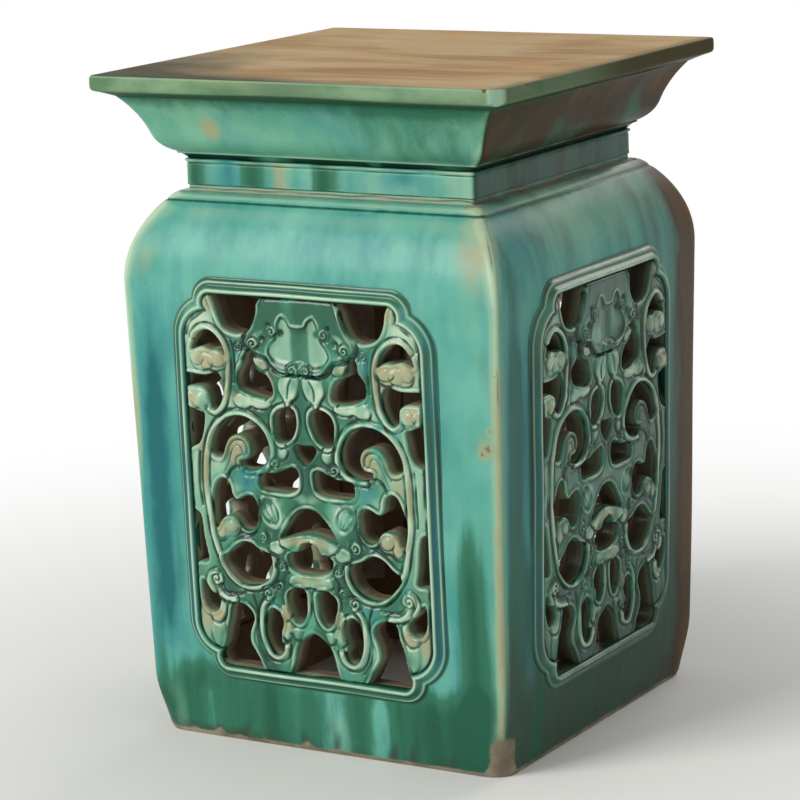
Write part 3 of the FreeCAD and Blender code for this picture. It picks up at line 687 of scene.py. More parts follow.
def body_marks(points):
    """Marks of the walls' glaze: runs and pools at their places along the side, thin glaze at
    the corners, bare clay at the foot, and on the right side painted shade, a painted brown
    reflection and a paler painted reflection at its shoulder."""
    x, y, z = points.T
    right, along, corner = side_marks(points)
    left = 1 - right
    half = np.interp(z, BODY_HEIGHTS, BODY_HALVES)
    outer = np.maximum(np.abs(x), np.abs(y)) > half - 9
    from_corner = half - corner

    def level(low, high):
        return soft_step(low, high, z)

    def strip(centre, width):
        return bump(along, centre, width)

    blue = 0.26 + 0.85 * strip(-124, 11) * level(350, 230) * level(40, 110)
    blue += 0.30 * strip(108, 6) * level(170, 90) + 0.25 * strip(127, 5) * level(130, 60)
    blue += 0.12 * strip(30, 60) * level(300, 360)
    blue += right * (0.35 * strip(-112, 16) * level(330, 250) + 0.30 * level(300, 340))
    green = 0.06 + 0.95 * level(68, 38) * soft_step(-135, -112, along)
    green += 0.75 * level(44, 20) * soft_step(-112, -135, along)
    green += 1.0 * strip(118, 12) * level(205, 120)
    green += (0.45 * strip(-110, 7) * level(210, 120) * level(80, 115)
              + 0.25 * strip(-132, 5) * level(260, 120))
    green -= left * (0.62 * strip(-10, 21) * level(66, 40) + 0.9 * strip(44, 9) * level(58, 34))
    green -= left * 0.6 * strip(-95, 8) * level(50, 30)
    green += right * (0.45 * strip(-126, 8) + 0.25 * level(170, 60))
    low_left = left * soft_step(-100, -128, along) * level(235, 150)
    pale = 0.95 * soft_step(9, 1.5, from_corner) * level(20, 70) + 0.4 * soft_step(22, 6, from_corner)
    # Painted shade: the pale corners, the lip's pale and the ochre are dimmed on the right side
    pale *= (1 - 0.45 * right) * (1 - 0.75 * low_left)
    pale += 0.8 * level(374.0, 374.8) * level(377.4, 376.4) * (1 - 0.5 * right)
    pale += left * 0.5 * level(352, 366) * level(372, 368)
    ochre = 0.7 * soft_step(10, 2, from_corner) * level(330, 220) * (1 - 0.5 * right) * (1 - 0.9 * low_left)
    ochre += left * 0.45 * strip(-128, 14) * level(300, 350)
    ochre += left * (0.5 * strip(122, 18) * level(310, 345) + 0.2 * bump(z, 20, 14) * strip(44, 60))
    pool_and_shade = 0.85 * bump(z, 372.6, 0.9)
    near = (x > 0) & (y < 0)
    clay = 0.65 * level(6.0, 0.4) + 0.2 * level(14, 2)
    clay += (0.15 + 0.65 * near) * soft_step(17, 8, from_corner) * level(38, 24)
    clay += 0.6 * level(377.0, 377.4)
    rag, runs = around_waves(along, right, 13, 31), around_waves(along, right, 26, 33)
    clay += left * 0.5 * np.maximum(rag, 0) * level(13, 3) * soft_step(60, -60, along)
    green += left * 0.28 * runs * level(70, 30)
    pale += left * 0.3 * np.maximum(-runs, 0) * level(46, 20) + left * 0.3 * strip(-120, 16) * level(70, 30)
    # Painted shade over the right side, deepest towards its far edge and low down; on the other sides darker
    # mottling at the foot
    painted_shade_and_mottle = right * (0.30 + 0.45 * soft_step(-20, 120, along) + 0.42 * level(150, 20))
    mottle = waves(points * [1, 1, 0.6], 11, 37)
    painted_shade_and_mottle += left * (0.25 * level(24, 4) * (1 + rag) + 0.3 * level(60, 25) * np.maximum(mottle, 0))
    pool_and_shade += right * 0.5 * np.maximum(runs, 0) * level(120, 30)
    # Painted reflection: the right side's shoulder paler and less blue, most towards its front end
    upper = right * level(290, 350) * soft_step(-115, -30, along)
    pale += right * 0.3 * level(318, 362) + 0.35 * upper
    blue -= 0.35 * upper
    # Painted reflection of warm surroundings: brown along the right side's far edge and round the corner
    # behind it, low down and at its shoulder; the brown at the foot of the other sides is the glaze's own
    past_corner = left * (x > 0) * (y > 0) * soft_step(24, 4, from_corner)
    brown = right * (1.35 * soft_step(100, 130, along) + 0.35 * level(60, 8)) + 1.0 * past_corner
    brown += (right * 0.35 * soft_step(20, 100, along) * level(318, 360)
              + left * (0.35 + 0.3 * strip(-70, 55)) * level(26, 2))
    return {"blue": blue, "green": np.clip(green, 0, 1.2), "pale": pale, "pool_and_shade": pool_and_shade * outer,
            "clay": clay * outer, "ochre": ochre, "brown": brown, "painted_shade_and_mottle": painted_shade_and_mottle,
            "inside": np.where(outer, 0.0, 1.0)}


# Body

def cut_windows(body):
    """Takes the four windows out of the shell, along the line that the rims cover."""
    outline = frame_outline(WINDOW_CUT, 6)
    count = len(outline)
    for turn in range(4):
        verts = np.concatenate([np.column_stack([outline, np.full(count, level)])
                                for level in (CUT_BACK, CUT_FRONT)])
        faces = [tuple(range(count))[::-1], tuple(range(count, 2 * count))]
        faces += [(i, (i + 1) % count, count + (i + 1) % count, count + i) for i in range(count)]
        mesh = bpy.data.meshes.new("window_cutter")
        mesh.from_pydata((turned(on_panel(verts), turn) / 1000).tolist(), [], faces)
        cutter = bpy.data.objects.new("window_cutter", mesh)
        bpy.context.scene.collection.objects.link(cutter)
        cut = body.modifiers.new("window", "BOOLEAN")
        cut.operation, cut.solver, cut.object = "DIFFERENCE", "EXACT", cutter
        graph = bpy.context.evaluated_depsgraph_get()
        made = bpy.data.meshes.new_from_object(body.evaluated_get(graph))
        body.modifiers.clear()
        old = body.data
        body.data = made
        bpy.data.meshes.remove(old)
        bpy.data.objects.remove(cutter)


def mesh_points(mesh):
    flat = np.empty(len(mesh.vertices) * 3)
    mesh.vertices.foreach_get("co", flat)
    return flat.reshape(-1, 3)


def make_body():
    """The four walls as one glazed shell, open at the foot and the top, with its windows cut."""
    shoulder, _ = tangent_arc(SHOULDER, WALL_WAY, WALL_TOP, 44)
    outline = np.concatenate([foot_curve(12), np.linspace(ANKLE, SHOULDER, 62)[1:], shoulder[1:-1]])
    rows = []
    for half, height in outline:
        radius = 4.5 + 12.0 * soft_step(42, 2, height)
        sink = 0.7 * bump(height, 372.7, 0.75) - 0.25 * bump(height, 375.4, 1.4)
        rows.append((half - sink, height, radius))
    foot, top = FOOT[0], WALL_TOP[0]
    rows[0] = (foot - 0.1, 2.2, 16.5)
    sole = (foot - 16, 0.0, 3.0)
    toe = [(foot - 2.6, 0.0, 15.0), (foot - 0.9, 0.5, 16.0)]
    lip = [(top - 0.3, 377.5, 4.0), (top - 1.4, 378.0, 3.5), (RING_INSIDE, 378.0, 2.0)]
    inner_shoulder, _ = tangent_arc(SHOULDER, WALL_WAY, WALL_TOP, 14)
    inner = [(half - WALL_THICKNESS * 0.98, height - 6 * soft_step(317, 378, height), 3.0)
             for half, height in inner_shoulder[::-1]]
    inner += [(half - WALL_THICKNESS, height, 3.0) for half, height in np.linspace(SHOULDER, ANKLE, 28)[1:]]
    inner += [(half - WALL_THICKNESS, height, 3.0) for half, height in foot_curve(5)[::-1][1:-1]]
    verts, faces = square_rings([*toe, *rows, *lip, *inner, sole], 74, 5)
    z = verts[:, 2]
    wall = soft_step(4, 60, z) * soft_step(378, 350, z)
    out = verts * np.array([1, 1, 0])
    out /= np.linalg.norm(out, axis=1)[:, None]
    verts = verts + out * (0.45 * waves(verts, 120, 3) * wall - 0.2 * wall)[:, None]
    walls = ["wall_" + side for side in SIDES]
    body = make_object("glazed_body", verts, faces, {}, body_glaze, walls, 40)
    cut_windows(body)
    shade(body.data, 40)
    set_marks(body.data, body_marks(mesh_points(body.data) * 1000))


# Window rims

def arc_points(centre, radius, start, end, count):
    first = math.atan2(start[1] - centre[1], start[0] - centre[0])
    last = math.atan2(end[1] - centre[1], end[0] - centre[0])
    angles = np.linspace(first, last, count + 1)
    return np.array(centre) + radius * np.stack([np.cos(angles), np.sin(angles)], 1)


def frame_outline(inset, rounds=10, flats=1):
    """The notched outline of the window, anticlockwise, moved in from the rim's outer toe."""
    upper = np.array([PANEL_HALF_WIDTH - NOTCH_UPPER_INSET, PANEL_HALF_HEIGHT - NOTCH_UPPER_RADIUS])
    side = np.array([PANEL_HALF_WIDTH - NOTCH_SIDE_RADIUS, PANEL_HALF_HEIGHT - NOTCH_SIDE_DROP])
    upper_radius, side_radius = NOTCH_UPPER_RADIUS - inset, NOTCH_SIDE_RADIUS - inset
    between = side - upper
    gap = np.linalg.norm(between)
    along = (upper_radius ** 2 - side_radius ** 2 + gap ** 2) / (2 * gap)
    off = math.sqrt(upper_radius ** 2 - along ** 2)
    way = between / gap
    cusp = upper + way * along + np.array([-way[1], way[0]]) * off
    first = arc_points(side, side_radius, side + [side_radius, 0], cusp, rounds)
    second = arc_points(upper, upper_radius, cusp, upper + [0, upper_radius], rounds)
    corner = np.concatenate([first, second[1:]])
    mirrored = corner[::-1] * [-1, 1]
    top = np.linspace(corner[-1], mirrored[0], flats + 1)[1:-1]
    left = np.linspace(mirrored[-1], mirrored[-1] * [1, -1], flats + 1)[1:-1]
    half = np.concatenate([corner, top, mirrored, left])
    return np.concatenate([half, -half])


def make_rim(turn):
    """A small bead at the toe, a broad darker hollow, and a larger bead by the opening."""
    rounds, flats = 14, 44
    around = len(frame_outline(0.0, rounds, flats))
    flat = np.concatenate([np.column_stack([frame_outline(inset, rounds, flats), np.full(around, height)])
                           for inset, height, *_ in RIM_SECTION])
    count = len(flat)
    rise = along_rings(RIM_SECTION, 1, count) > 1
    flat[:, 2] += 0.22 * waves(flat, 45, 20 + turn) * rise
    flat[:, :2] += 0.35 * waves(flat, 70, 30 + turn)[:, None] * [1, 0.6] * rise[:, None]
    faces = ring_quads(around, len(RIM_SECTION))
    verts = turned(on_panel(flat), turn)
    across, up, _ = flat.T
    level = up / PANEL_HALF_HEIGHT
    above, below = soft_step(0.9, 0.97, level), soft_step(-0.9, -0.97, level)
    light, dark = along_rings(RIM_SECTION, 2, count), along_rings(RIM_SECTION, 3, count)
    wall = body_marks(verts)
    marks = {
        "pale": light * (0.95 + 0.25 * waves(flat, 60, 40)) + 0.15 * above,
        "pool_and_shade": dark * (0.9 + 0.35 * waves(flat, 50, 41)),
        "green": 0.3 + 0.75 * above + 0.8 * below + 0.2 * waves(flat, 40, 42),
        "blue": 0.25 + 0.75 * soft_step(88, 95, np.abs(across)) * soft_step(0.9, 0.7, np.abs(level)),
        "ochre": 0.3 * soft_step(0.2, 0.9, level) * soft_step(60, 90, np.abs(across)),
        # The wall's painted shade and painted brown reflection go on over the rim
        "painted_shade_and_mottle": wall["painted_shade_and_mottle"] * 0.9,
        "brown": wall["brown"] * 0.4,
    }
    side = SIDES[turn]
    make_object("window_rim_" + side, verts, faces, marks, rim_glaze, ["rim_" + side], 60)


# Openwork tiles

def spline(before, here, after, later, t):
    """The place a share t of the way from here to after, on a smooth curve through all four."""
    return 0.5 * (2 * here + (after - before) * t + (2 * before - 5 * here + 4 * after - later) * t ** 2
                  + (3 * here - before - 3 * after + later) * t ** 3)


def smooth_loop(points, per=6):
    """A closed smooth curve through points."""
    p = np.array(points, dtype=float)
    before, after, later = np.roll(p, 1, 0), np.roll(p, -1, 0), np.roll(p, -2, 0)
    shares = np.arange(per) / per
    return np.stack([spline(before, p, after, later, t) for t in shares], 1).reshape(-1, 2)


def smooth_line(points, per=8):
    """An open smooth curve through points."""
    p = np.array([points[0], *points, points[-1]], dtype=float)
    shares = np.arange(per) / per
    out = [spline(*four, t) for four in zip(p, p[1:], p[2:], p[3:]) for t in shares]
    return np.array([*out, p[-1]])


def whole_loop(right_half):
    """A loop on the middle line from its right half."""
    left = [(-x, y) for x, y in right_half[::-1] if x > 0]
    return list(right_half) + left


def line_distance(across, up, line, closed):
    """Distance from grid points to a polyline, and whether they are inside it."""
    nearest = np.full(across.shape, 1e9)
    inside = np.zeros(across.shape, dtype=bool)
    pairs = zip(line, np.roll(line, -1, 0)) if closed else zip(line[:-1], line[1:])
    for (ax, ay), (bx, by) in pairs:
        dx, dy = bx - ax, by - ay
        length = max(dx * dx + dy * dy, 1e-9)
        t = np.clip(((across - ax) * dx + (up - ay) * dy) / length, 0, 1)
        nearest = np.minimum(nearest, (across - ax - t * dx) ** 2 + (up - ay - t * dy) ** 2)
        if closed and ay != by:
            crosses = (ay > up) != (by > up)
            inside ^= crosses & (across < ax + (up - ay) * dx / dy)
    return np.sqrt(nearest), inside


def signed(across, up, loop, reach=11.0):
    """Signed distance from a loop, above zero outside it, worked out near it only."""
    low, high = loop.min(0) - reach, loop.max(0) + reach
    near = (across > low[0]) & (across < high[0]) & (up > low[1]) & (up < high[1])
    out = np.full(across.shape, reach)
    distance, inside = line_distance(across[near], up[near], loop, True)
    out[near] = np.where(inside, -distance, np.minimum(distance, reach))
    return out


def edge_bead(distance):
    return bump(distance, 1.35, 0.95)


def edge_groove(distance):
    return bump(distance, 3.5, 0.85)


def spots(across, up, places):
    """Soft spots, added up, at places given as across, up, reach across, reach up, strength."""
    total = np.zeros(across.shape)
    for x, y, rx, ry, *strength in places:
        total += np.exp(-((across - x) / rx) ** 2 - ((up - y) / ry) ** 2) * (strength[0] if strength else 1.0)
    return np.minimum(total, 1.3)


class Face:
    """The tile's carved face: its height, and where it is raised and cut in."""

    def __init__(self, across, up):
        self.across, self.up, self.width = across, up, np.abs(across)
        self.height = np.full(across.shape, TILE_RISE - 0.1)
        self.raised = np.zeros(across.shape)
        self.cut = np.zeros(across.shape)

    def light(self, values):
        """Marks what stands out, where the glaze is thin, and painted highlights."""
        self.raised = np.maximum(self.raised, values)

    def dark(self, values):
        """Marks what is cut in, where the glaze pools, and painted shadow lines."""
        self.cut = np.maximum(self.cut, values)

    def to_line(self, line, near=slice(None)):
        """Distance of the points, or of those near it, from a line."""
        return line_distance(self.width[near], self.up[near], line, False)[0]


def bead_openings(face, gaps):
    """A bead round each opening and a groove outside it."""
    for strength, gap in gaps:
        face.height += 0.9 * strength * edge_bead(gap) - 0.8 * strength * edge_groove(gap)
        face.light(strength * edge_bead(gap))
        face.dark(strength * edge_groove(gap))


def bead_rings(face):
    """The long beads, each with a groove beside it."""
    for points in RINGS:
        distance = face.to_line(smooth_line(points))
        face.height += 1.1 * bump(distance, 0, 1.25) - 0.9 * bump(distance, 2.9, 0.85)
        face.light(1.15 * bump(distance, 0, 1.3))
        face.cut = face.cut * (1 - bump(distance, 0, 1.6))
        face.dark(bump(distance, 2.9, 0.95))


def raise_shield(face):
    """The shield and the dish sunk into it, and where they are."""
    shield = signed(face.across, face.up, smooth_loop(whole_loop(SHIELD)), 8.0)
    dish = signed(face.across, face.up, smooth_loop(whole_loop(DISH)), 8.0)
    plate = soft_step(0.8, -0.8, shield)
    face.height += 1.4 * plate + 0.4 * bump(shield, -1.3, 0.9) + 0.7 * bump(dish, 1.2, 1.0)
    face.light(np.maximum(0.7 * bump(shield, -1.2, 1.0), 0.8 * bump(dish, 1.3, 0.9)))
    face.dark(np.maximum(0.9 * bump(shield, 1.0, 1.0), 0.9 * bump(dish, -0.6, 0.8)))
    hollow = soft_step(0.4, -5.0, dish)
    face.height -= hollow * (1.6 + 1.5 * bump(face.across, 0, 7.0))
    return plate, hollow


def grow_foliage(face, lumps):
    """Small lumpy leaves."""
    foliage = spots(face.width, face.up, FOLIAGE)
    face.height += 0.45 * foliage * lumps
    face.light(0.75 * foliage * soft_step(-0.2, 0.9, lumps))
    face.dark(0.9 * foliage * soft_step(-0.35, -0.95, lumps))


def lay_leaves(face, lumps):
    """The larger leaves, each with a groove and a painted shadow line under it, and a painted highlight along
    its upper edge.
    """
    for rise, light, points in LEAVES:
        leaf = signed(face.width, face.up, smooth_loop(points), 6.0)
        on_leaf = soft_step(0.6, -1.4, leaf)
        _, uphill = np.gradient(leaf, GRID_STEP)
        below = 0.25 + 0.75 * soft_step(0.3, -0.7, uphill)
        face.height += rise * on_leaf * (1 + 0.35 * lumps) - 0.7 * rise * below * bump(leaf, 0.7, 0.9)
        face.raised = face.raised * (1 - 0.6 * on_leaf)
        face.light(light * on_leaf * (1 + 0.3 * lumps))
        # Painted highlight along the leaf's upper edge
        face.light(0.8 * soft_step(0.0, 0.8, uphill) * bump(leaf, -1.0, 0.9))
        face.cut = face.cut * (1 - on_leaf)
        # Painted shadow line along the leaf's lower edge
        face.dark(0.9 * below * bump(leaf, 0.8, 1.0))


def swell_domes(face):
    """Domes, the higher ones with a painted shadow line under them."""
    for x, y, rx, ry, rise in DOMES:
        part = np.clip(1 - ((face.width - x) / rx) ** 2 - ((face.up - y) / ry) ** 2, 0, 1)
        face.height += rise * part ** 0.7
        face.light(0.6 * min(rise, 1.2) * part ** 0.5)
        around = np.sqrt(((face.width - x) / rx) ** 2 + ((face.up - y) / ry) ** 2)
        # Painted shadow line under the higher domes
        face.dark(0.7 * (rise > 0.95) * bump(around, 1.08, 0.13) * soft_step(2, -3, face.up - y))


def sink_pits(face):
    """Round pits."""
    for x, y, radius, depth in PITS:
        hole = np.exp(-((face.width - x) ** 2 + (face.up - y) ** 2) / radius ** 2)
        face.height -= depth * hole
        face.dark(hole * min(depth, 1.2))


def draw_strokes(face):
    """Lines cut into the face."""
    for size, rise, points in STROKES:
        distance = face.to_line(smooth_line(points))
        face.height += rise * bump(distance, 0, size)
        face.dark(-0.85 * rise * bump(distance, 0, size * 0.9))
        face.raised = face.raised * (1 - bump(distance, 0, size))


def roll_curls(face):
    """Small domes with a spiral line cut into them."""
    for x, y, radius, angle, hand in CURLS:
        near = (face.width - x) ** 2 + (face.up - y) ** 2 < (radius * 1.6) ** 2
        part = ((face.width[near] - x) ** 2 + (face.up[near] - y) ** 2) / radius ** 2
        t = np.linspace(0, 1, 40)
        bearing = math.radians(angle) + hand * 2 * math.pi * 1.25 * t
        reach = radius * (0.86 - 0.72 * t)
        spiral = np.column_stack([x + reach * np.cos(bearing), y + reach * np.sin(bearing)])
        distance = face.to_line(spiral, near)
        inside = np.clip(1 - part, 0, 1)
        edge = bump(np.sqrt(part) * radius, radius * 1.12, 0.8)
        line = bump(distance, 0, 0.75)
        face.height[near] += 1.4 * np.sqrt(inside)
        face.height[near] -= 1.2 * bump(distance, 0, 0.8) + 0.5 * edge
        face.raised[near] = np.maximum(face.raised[near], 1.1 * np.sqrt(inside)) * (1 - line)
        face.cut[near] = np.maximum(face.cut[near] * (1 - inside), np.maximum(0.9 * line, 0.7 * edge))


def lay_shell(face):
    """The ribbed oval shell."""
    x, y, rx, ry, tilt = SHELL
    a = (face.width - x) * math.cos(tilt) + (face.up - y) * math.sin(tilt)
    b = (face.up - y) * math.cos(tilt) - (face.width - x) * math.sin(tilt)
    ring = np.sqrt((a / rx) ** 2 + (b / ry) ** 2)
    ribs = np.cos(np.arctan2(a, b + ry * 1.1) * 18) * (ring < 0.8) * soft_step(0.0, 0.3, ring)
    lip, groove = bump(ring, 1.0, 0.16), bump(ring, 0.78, 0.12)
    face.height += 0.7 * lip - 0.5 * groove + 0.3 * ribs
    face.light(np.maximum(0.65 * lip, 0.45 * ribs))
    face.dark(np.maximum(0.5 * groove, -0.4 * ribs))


def carve(across, up, gaps, field):
    """The carved face: its height, and where it is raised, cut in, or part of the dish."""
    face = Face(across, up)
    bead_openings(face, gaps)
    bead_rings(face)
    plate, hollow = raise_shield(face)
    level = np.column_stack([face.width.ravel(), up.ravel(), 0 * up.ravel()])
    lumps = waves(level, 8.5, 91).reshape(up.shape)
    grow_foliage(face, lumps)
    lay_leaves(face, lumps)
    swell_domes(face)
    sink_pits(face)
    draw_strokes(face)
    roll_curls(face)
    lay_shell(face)
    face.height -= 0.9 * bump(field, 0.0, 1.1)
    face.dark(bump(field, 0.4, 1.1))
    return face.height, {"raised": face.raised, "cut": face.cut, "plate": plate, "hollow": hollow}


def edge_drop(distance, radius=1.5):
    part = np.clip(1 - distance / radius, 0, 1)
    return radius * (1 - np.sqrt(np.maximum(1 - part ** 2, 0)))


def tile_fields(across, up):
    """Distances to each opening, into the face from the rim, and into the solid of the tile."""
    gaps = []
    for strength, points in OPENINGS.values():
        gaps.append((strength, signed(np.abs(across), up, smooth_loop(points))))
    for strength, points in MIDDLE_OPENINGS.values():
        gaps.append((strength, signed(across, up, smooth_loop(whole_loop(points)))))
    open_gap = np.min([gap for _, gap in gaps], axis=0)
    field = -signed(across, up, frame_outline(RIM_WIDTH + 0.1), 300.0)
    border = -signed(across, up, frame_outline(RIM_WIDTH - 3.0), 300.0)
    return gaps, field, np.minimum(np.maximum(open_gap, -field), border)


def solid_triangles(solid):
    """Triangles of the grid that lie in the tile, each square split clear of the openings."""
    rows, columns = solid.shape
    index = np.arange(rows * columns).reshape(rows, columns)
    corners = [index[:-1, :-1], index[1:, :-1], index[1:, 1:], index[:-1, 1:]]
    quads = np.stack([c.ravel() for c in corners], 1)
    level = solid.ravel()[quads]
    flip = (level[:, 0] < 0) | (level[:, 2] < 0)
    first = np.where(flip[:, None], quads[:, [0, 1, 3]], quads[:, [0, 1, 2]])
    second = np.where(flip[:, None], quads[:, [1, 2, 3]], quads[:, [0, 2, 3]])
    triangles = np.concatenate([first, second])
    level = solid.ravel()[triangles]
    return triangles[(level.min(1) >= 0) & (level.max(1) > 0)]


def border_edges(triangles, count):
    """Edges that belong to one triangle only."""
    edges = np.concatenate([triangles[:, pair] for pair in ([0, 1], [1, 2], [2, 0])])
    codes = edges[:, 0] * count + edges[:, 1]
    reverse = edges[:, 1] * count + edges[:, 0]
    return edges[~np.isin(codes, reverse)]


def back_faces(outline, edges, start):
    """The tile's flat back, from the outlines of the tile and its openings."""
    points = [Vector(p) for p in outline.tolist()]
    places, _, made, origins, *_ = delaunay_2d_cdt(points, edges, [], 0, 1e-6)
    origin = [found[0] if found else -1 for found in origins]
    centres = np.array([[sum(places[v][axis] for v in face) / 3 for axis in (0, 1)] for face in made])
    _, _, at_centre = tile_fields(centres[:, 0], centres[:, 1])
    faces = []
    for face, depth in zip(made, at_centre):
        ids = [origin[v] for v in face]
        if depth > 0 and min(ids) >= 0:
            faces.append(tuple(start + i for i in ids[::-1]))
    return faces


def tile_mesh():
    """One tile drawn flat: vertices, faces and marks. The face is a grid whose points next to
    an opening are moved on to its edge; walls run back from there to a flat back."""
    step = GRID_STEP
    grid_u = np.arange(-TILE_REACH[0], TILE_REACH[0] + step, step)
    grid_v = np.arange(-TILE_REACH[1], TILE_REACH[1] + step, step)
    across, up = np.meshgrid(grid_u, grid_v, indexing="ij")
    _, _, solid = tile_fields(across, up)
    slope_u, slope_v = np.gradient(solid, step)
    steep = np.maximum(slope_u ** 2 + slope_v ** 2, 0.2)
    close = np.abs(solid) <= 0.5 * step
    move = np.where(close, solid / steep, 0)
    across = across - move * slope_u
    up = up - move * slope_v
    gaps, field, exact = tile_fields(across, up)
    drop = edge_drop(np.maximum(np.where(close, 0, exact), 0))
    height, drawn = carve(across, up, gaps, field)
    height = np.where(field > -0.2, height, -1.0)
    height = height - np.where(field > 0.2, drop, 0)

    triangles = solid_triangles(np.where(close, 0.0, solid))
    used = np.unique(triangles)
    renumber = np.full(solid.size, -1)
    renumber[used] = np.arange(len(used))
    triangles = renumber[triangles]
    flat = np.column_stack([across.ravel()[used], up.ravel()[used], height.ravel()[used]])

    outer = border_edges(triangles, len(used))
    rim_ids = np.unique(outer)
    place = np.full(len(used), -1)
    place[rim_ids] = np.arange(len(rim_ids))
    rings = []
    for level_height, _ in TILE_LEVELS:
        ring = flat[rim_ids].copy()
        ring[:, 2] = np.minimum(level_height, ring[:, 2] - 0.3)
        rings.append(ring)
    verts = np.concatenate([flat, *rings])
    faces = [tuple(t) for t in triangles.tolist()]
    count = len(rim_ids)
    starts = [len(flat) + count * k for k in range(len(rings))]
    around = [(int(place[i]), int(place[j])) for i, j in outer.tolist()]
    faces += [(j, i, starts[0] + int(place[i]), starts[0] + int(place[j])) for i, j in outer.tolist()]
    for above, below in zip(starts, starts[1:]):
        faces += [(above + b, above + a, below + a, below + b) for a, b in around]
    faces += back_faces(flat[rim_ids][:, :2], around, starts[-1])

    depth = np.zeros(len(verts))
    for start, (_, value) in zip(starts, TILE_LEVELS):
        depth[start:start + count] = value
    depth[rim_ids] = 0.12
    marks = {"depth": depth}
    for key, values in drawn.items():
        marks[key] = np.zeros(len(verts))
        marks[key][:len(flat)] = values.ravel()[used]
    return verts, faces, marks


def tile_marks(flat, drawn, turn, verts):
    """Pale where the carving stands out and dark where it is cut in, with the painted highlights
    and shadow lines of the leaves and domes, on a ground of emerald, turquoise and ochre places,
    and painted shade over the right side's tile."""
    across, up, _ = flat.T
    width = np.abs(across)
    level = flat * [1, 1, 0]
    front = drawn["depth"] < 0.2
    plate, hollow, raised, cut = (drawn[key] for key in ("plate", "hollow", "raised", "cut"))
    uneven, fine = waves(level, 26, 50 + turn), waves(level, 8, 52 + turn)
    slope = 0.75 * soft_step(4, 9, width) * (hollow > 0.02)
    outer = soft_step(52, 84, width)
    right = side_marks(verts)[0]
    ground = body_marks(verts)
    pale_spots, blue_spots = spots(width, up, PALE), spots(width, up, BLUE)
    pale = raised * (1.15 + 0.45 * uneven + 0.35 * fine) + slope * (1 - cut)
    pale += (0.4 * soft_step(58, 85, width) * soft_step(-110, 20, up)
             + 0.3 * soft_step(60, 115, up) * (plate < 0.3))
    pale += 0.36 * outer + 0.62 * pale_spots
    # Painted shade on the right side's tile: less pale and darker, but for the raised carving
    pale *= 1 - 0.2 * right
    pool_and_shade = cut * (1.15 + 0.45 * uneven + 0.45 * fine) * (1 - 0.3 * soft_step(60, 85, width) * (width < 89))
    pool_and_shade += right * (0.34 + 0.2 * fine) * (1 - np.clip(1.2 * raised, 0, 1))
    green = 0.60 + 0.5 * uneven + 0.6 * spots(width, up, EMERALD) - 0.45 * outer + 0.1 * right
    green += 0.12 * plate * (1 - (hollow > 0.3)) + 0.45 * hollow * bump(across, 0, 5)
    green -= 0.5 * blue_spots + 0.5 * slope + 0.4 * pale_spots
    blue = 0.08 + 0.62 * blue_spots + 0.2 * waves(level, 40, 60 + turn)
    ochre = spots(width, up, OCHRE) * (0.9 + 0.4 * uneven)
    return {
        "pale": pale * front,
        "pool_and_shade": pool_and_shade * front,
        "green": np.clip(green, 0, 1.2) * front,
        "blue": np.clip(blue, 0, 1) * front,
        # On the right side's tile less ochre, and the wall's painted shade made deeper but for the raised
        # carving
        "ochre": ochre * front * (1 - 0.7 * cut) * (1 - 0.45 * right),
        "painted_shade_and_mottle": ground["painted_shade_and_mottle"] * 1.35 * (1 - 0.75 * np.clip(raised, 0, 1)),
        "brown": ground["brown"] * 0.25,
        "inside": drawn["depth"],
    }


def make_tiles():
    """The four tiles from one drawing, each with its own slight unevenness."""
    flat, faces, drawn = tile_mesh()
    front = drawn["depth"] < 0.01
    for turn, side in enumerate(SIDES):
        points = flat.copy()
        points[:, :2] += 0.35 * waves(flat * [1, 1, 0], 30, 70 + turn)[:, None] * [1, -1]
        points[:, 2] += np.where(front, 0.12 * waves(flat, 14, 80 + turn), 0)
        verts = turned(on_panel(points), turn)
        marks = tile_marks(flat, drawn, turn, verts)
        make_object("fretwork_tile_" + side, verts, faces, marks, tile_glaze, ["fretwork_" + side],
                    55)


# Neck, crown and seat

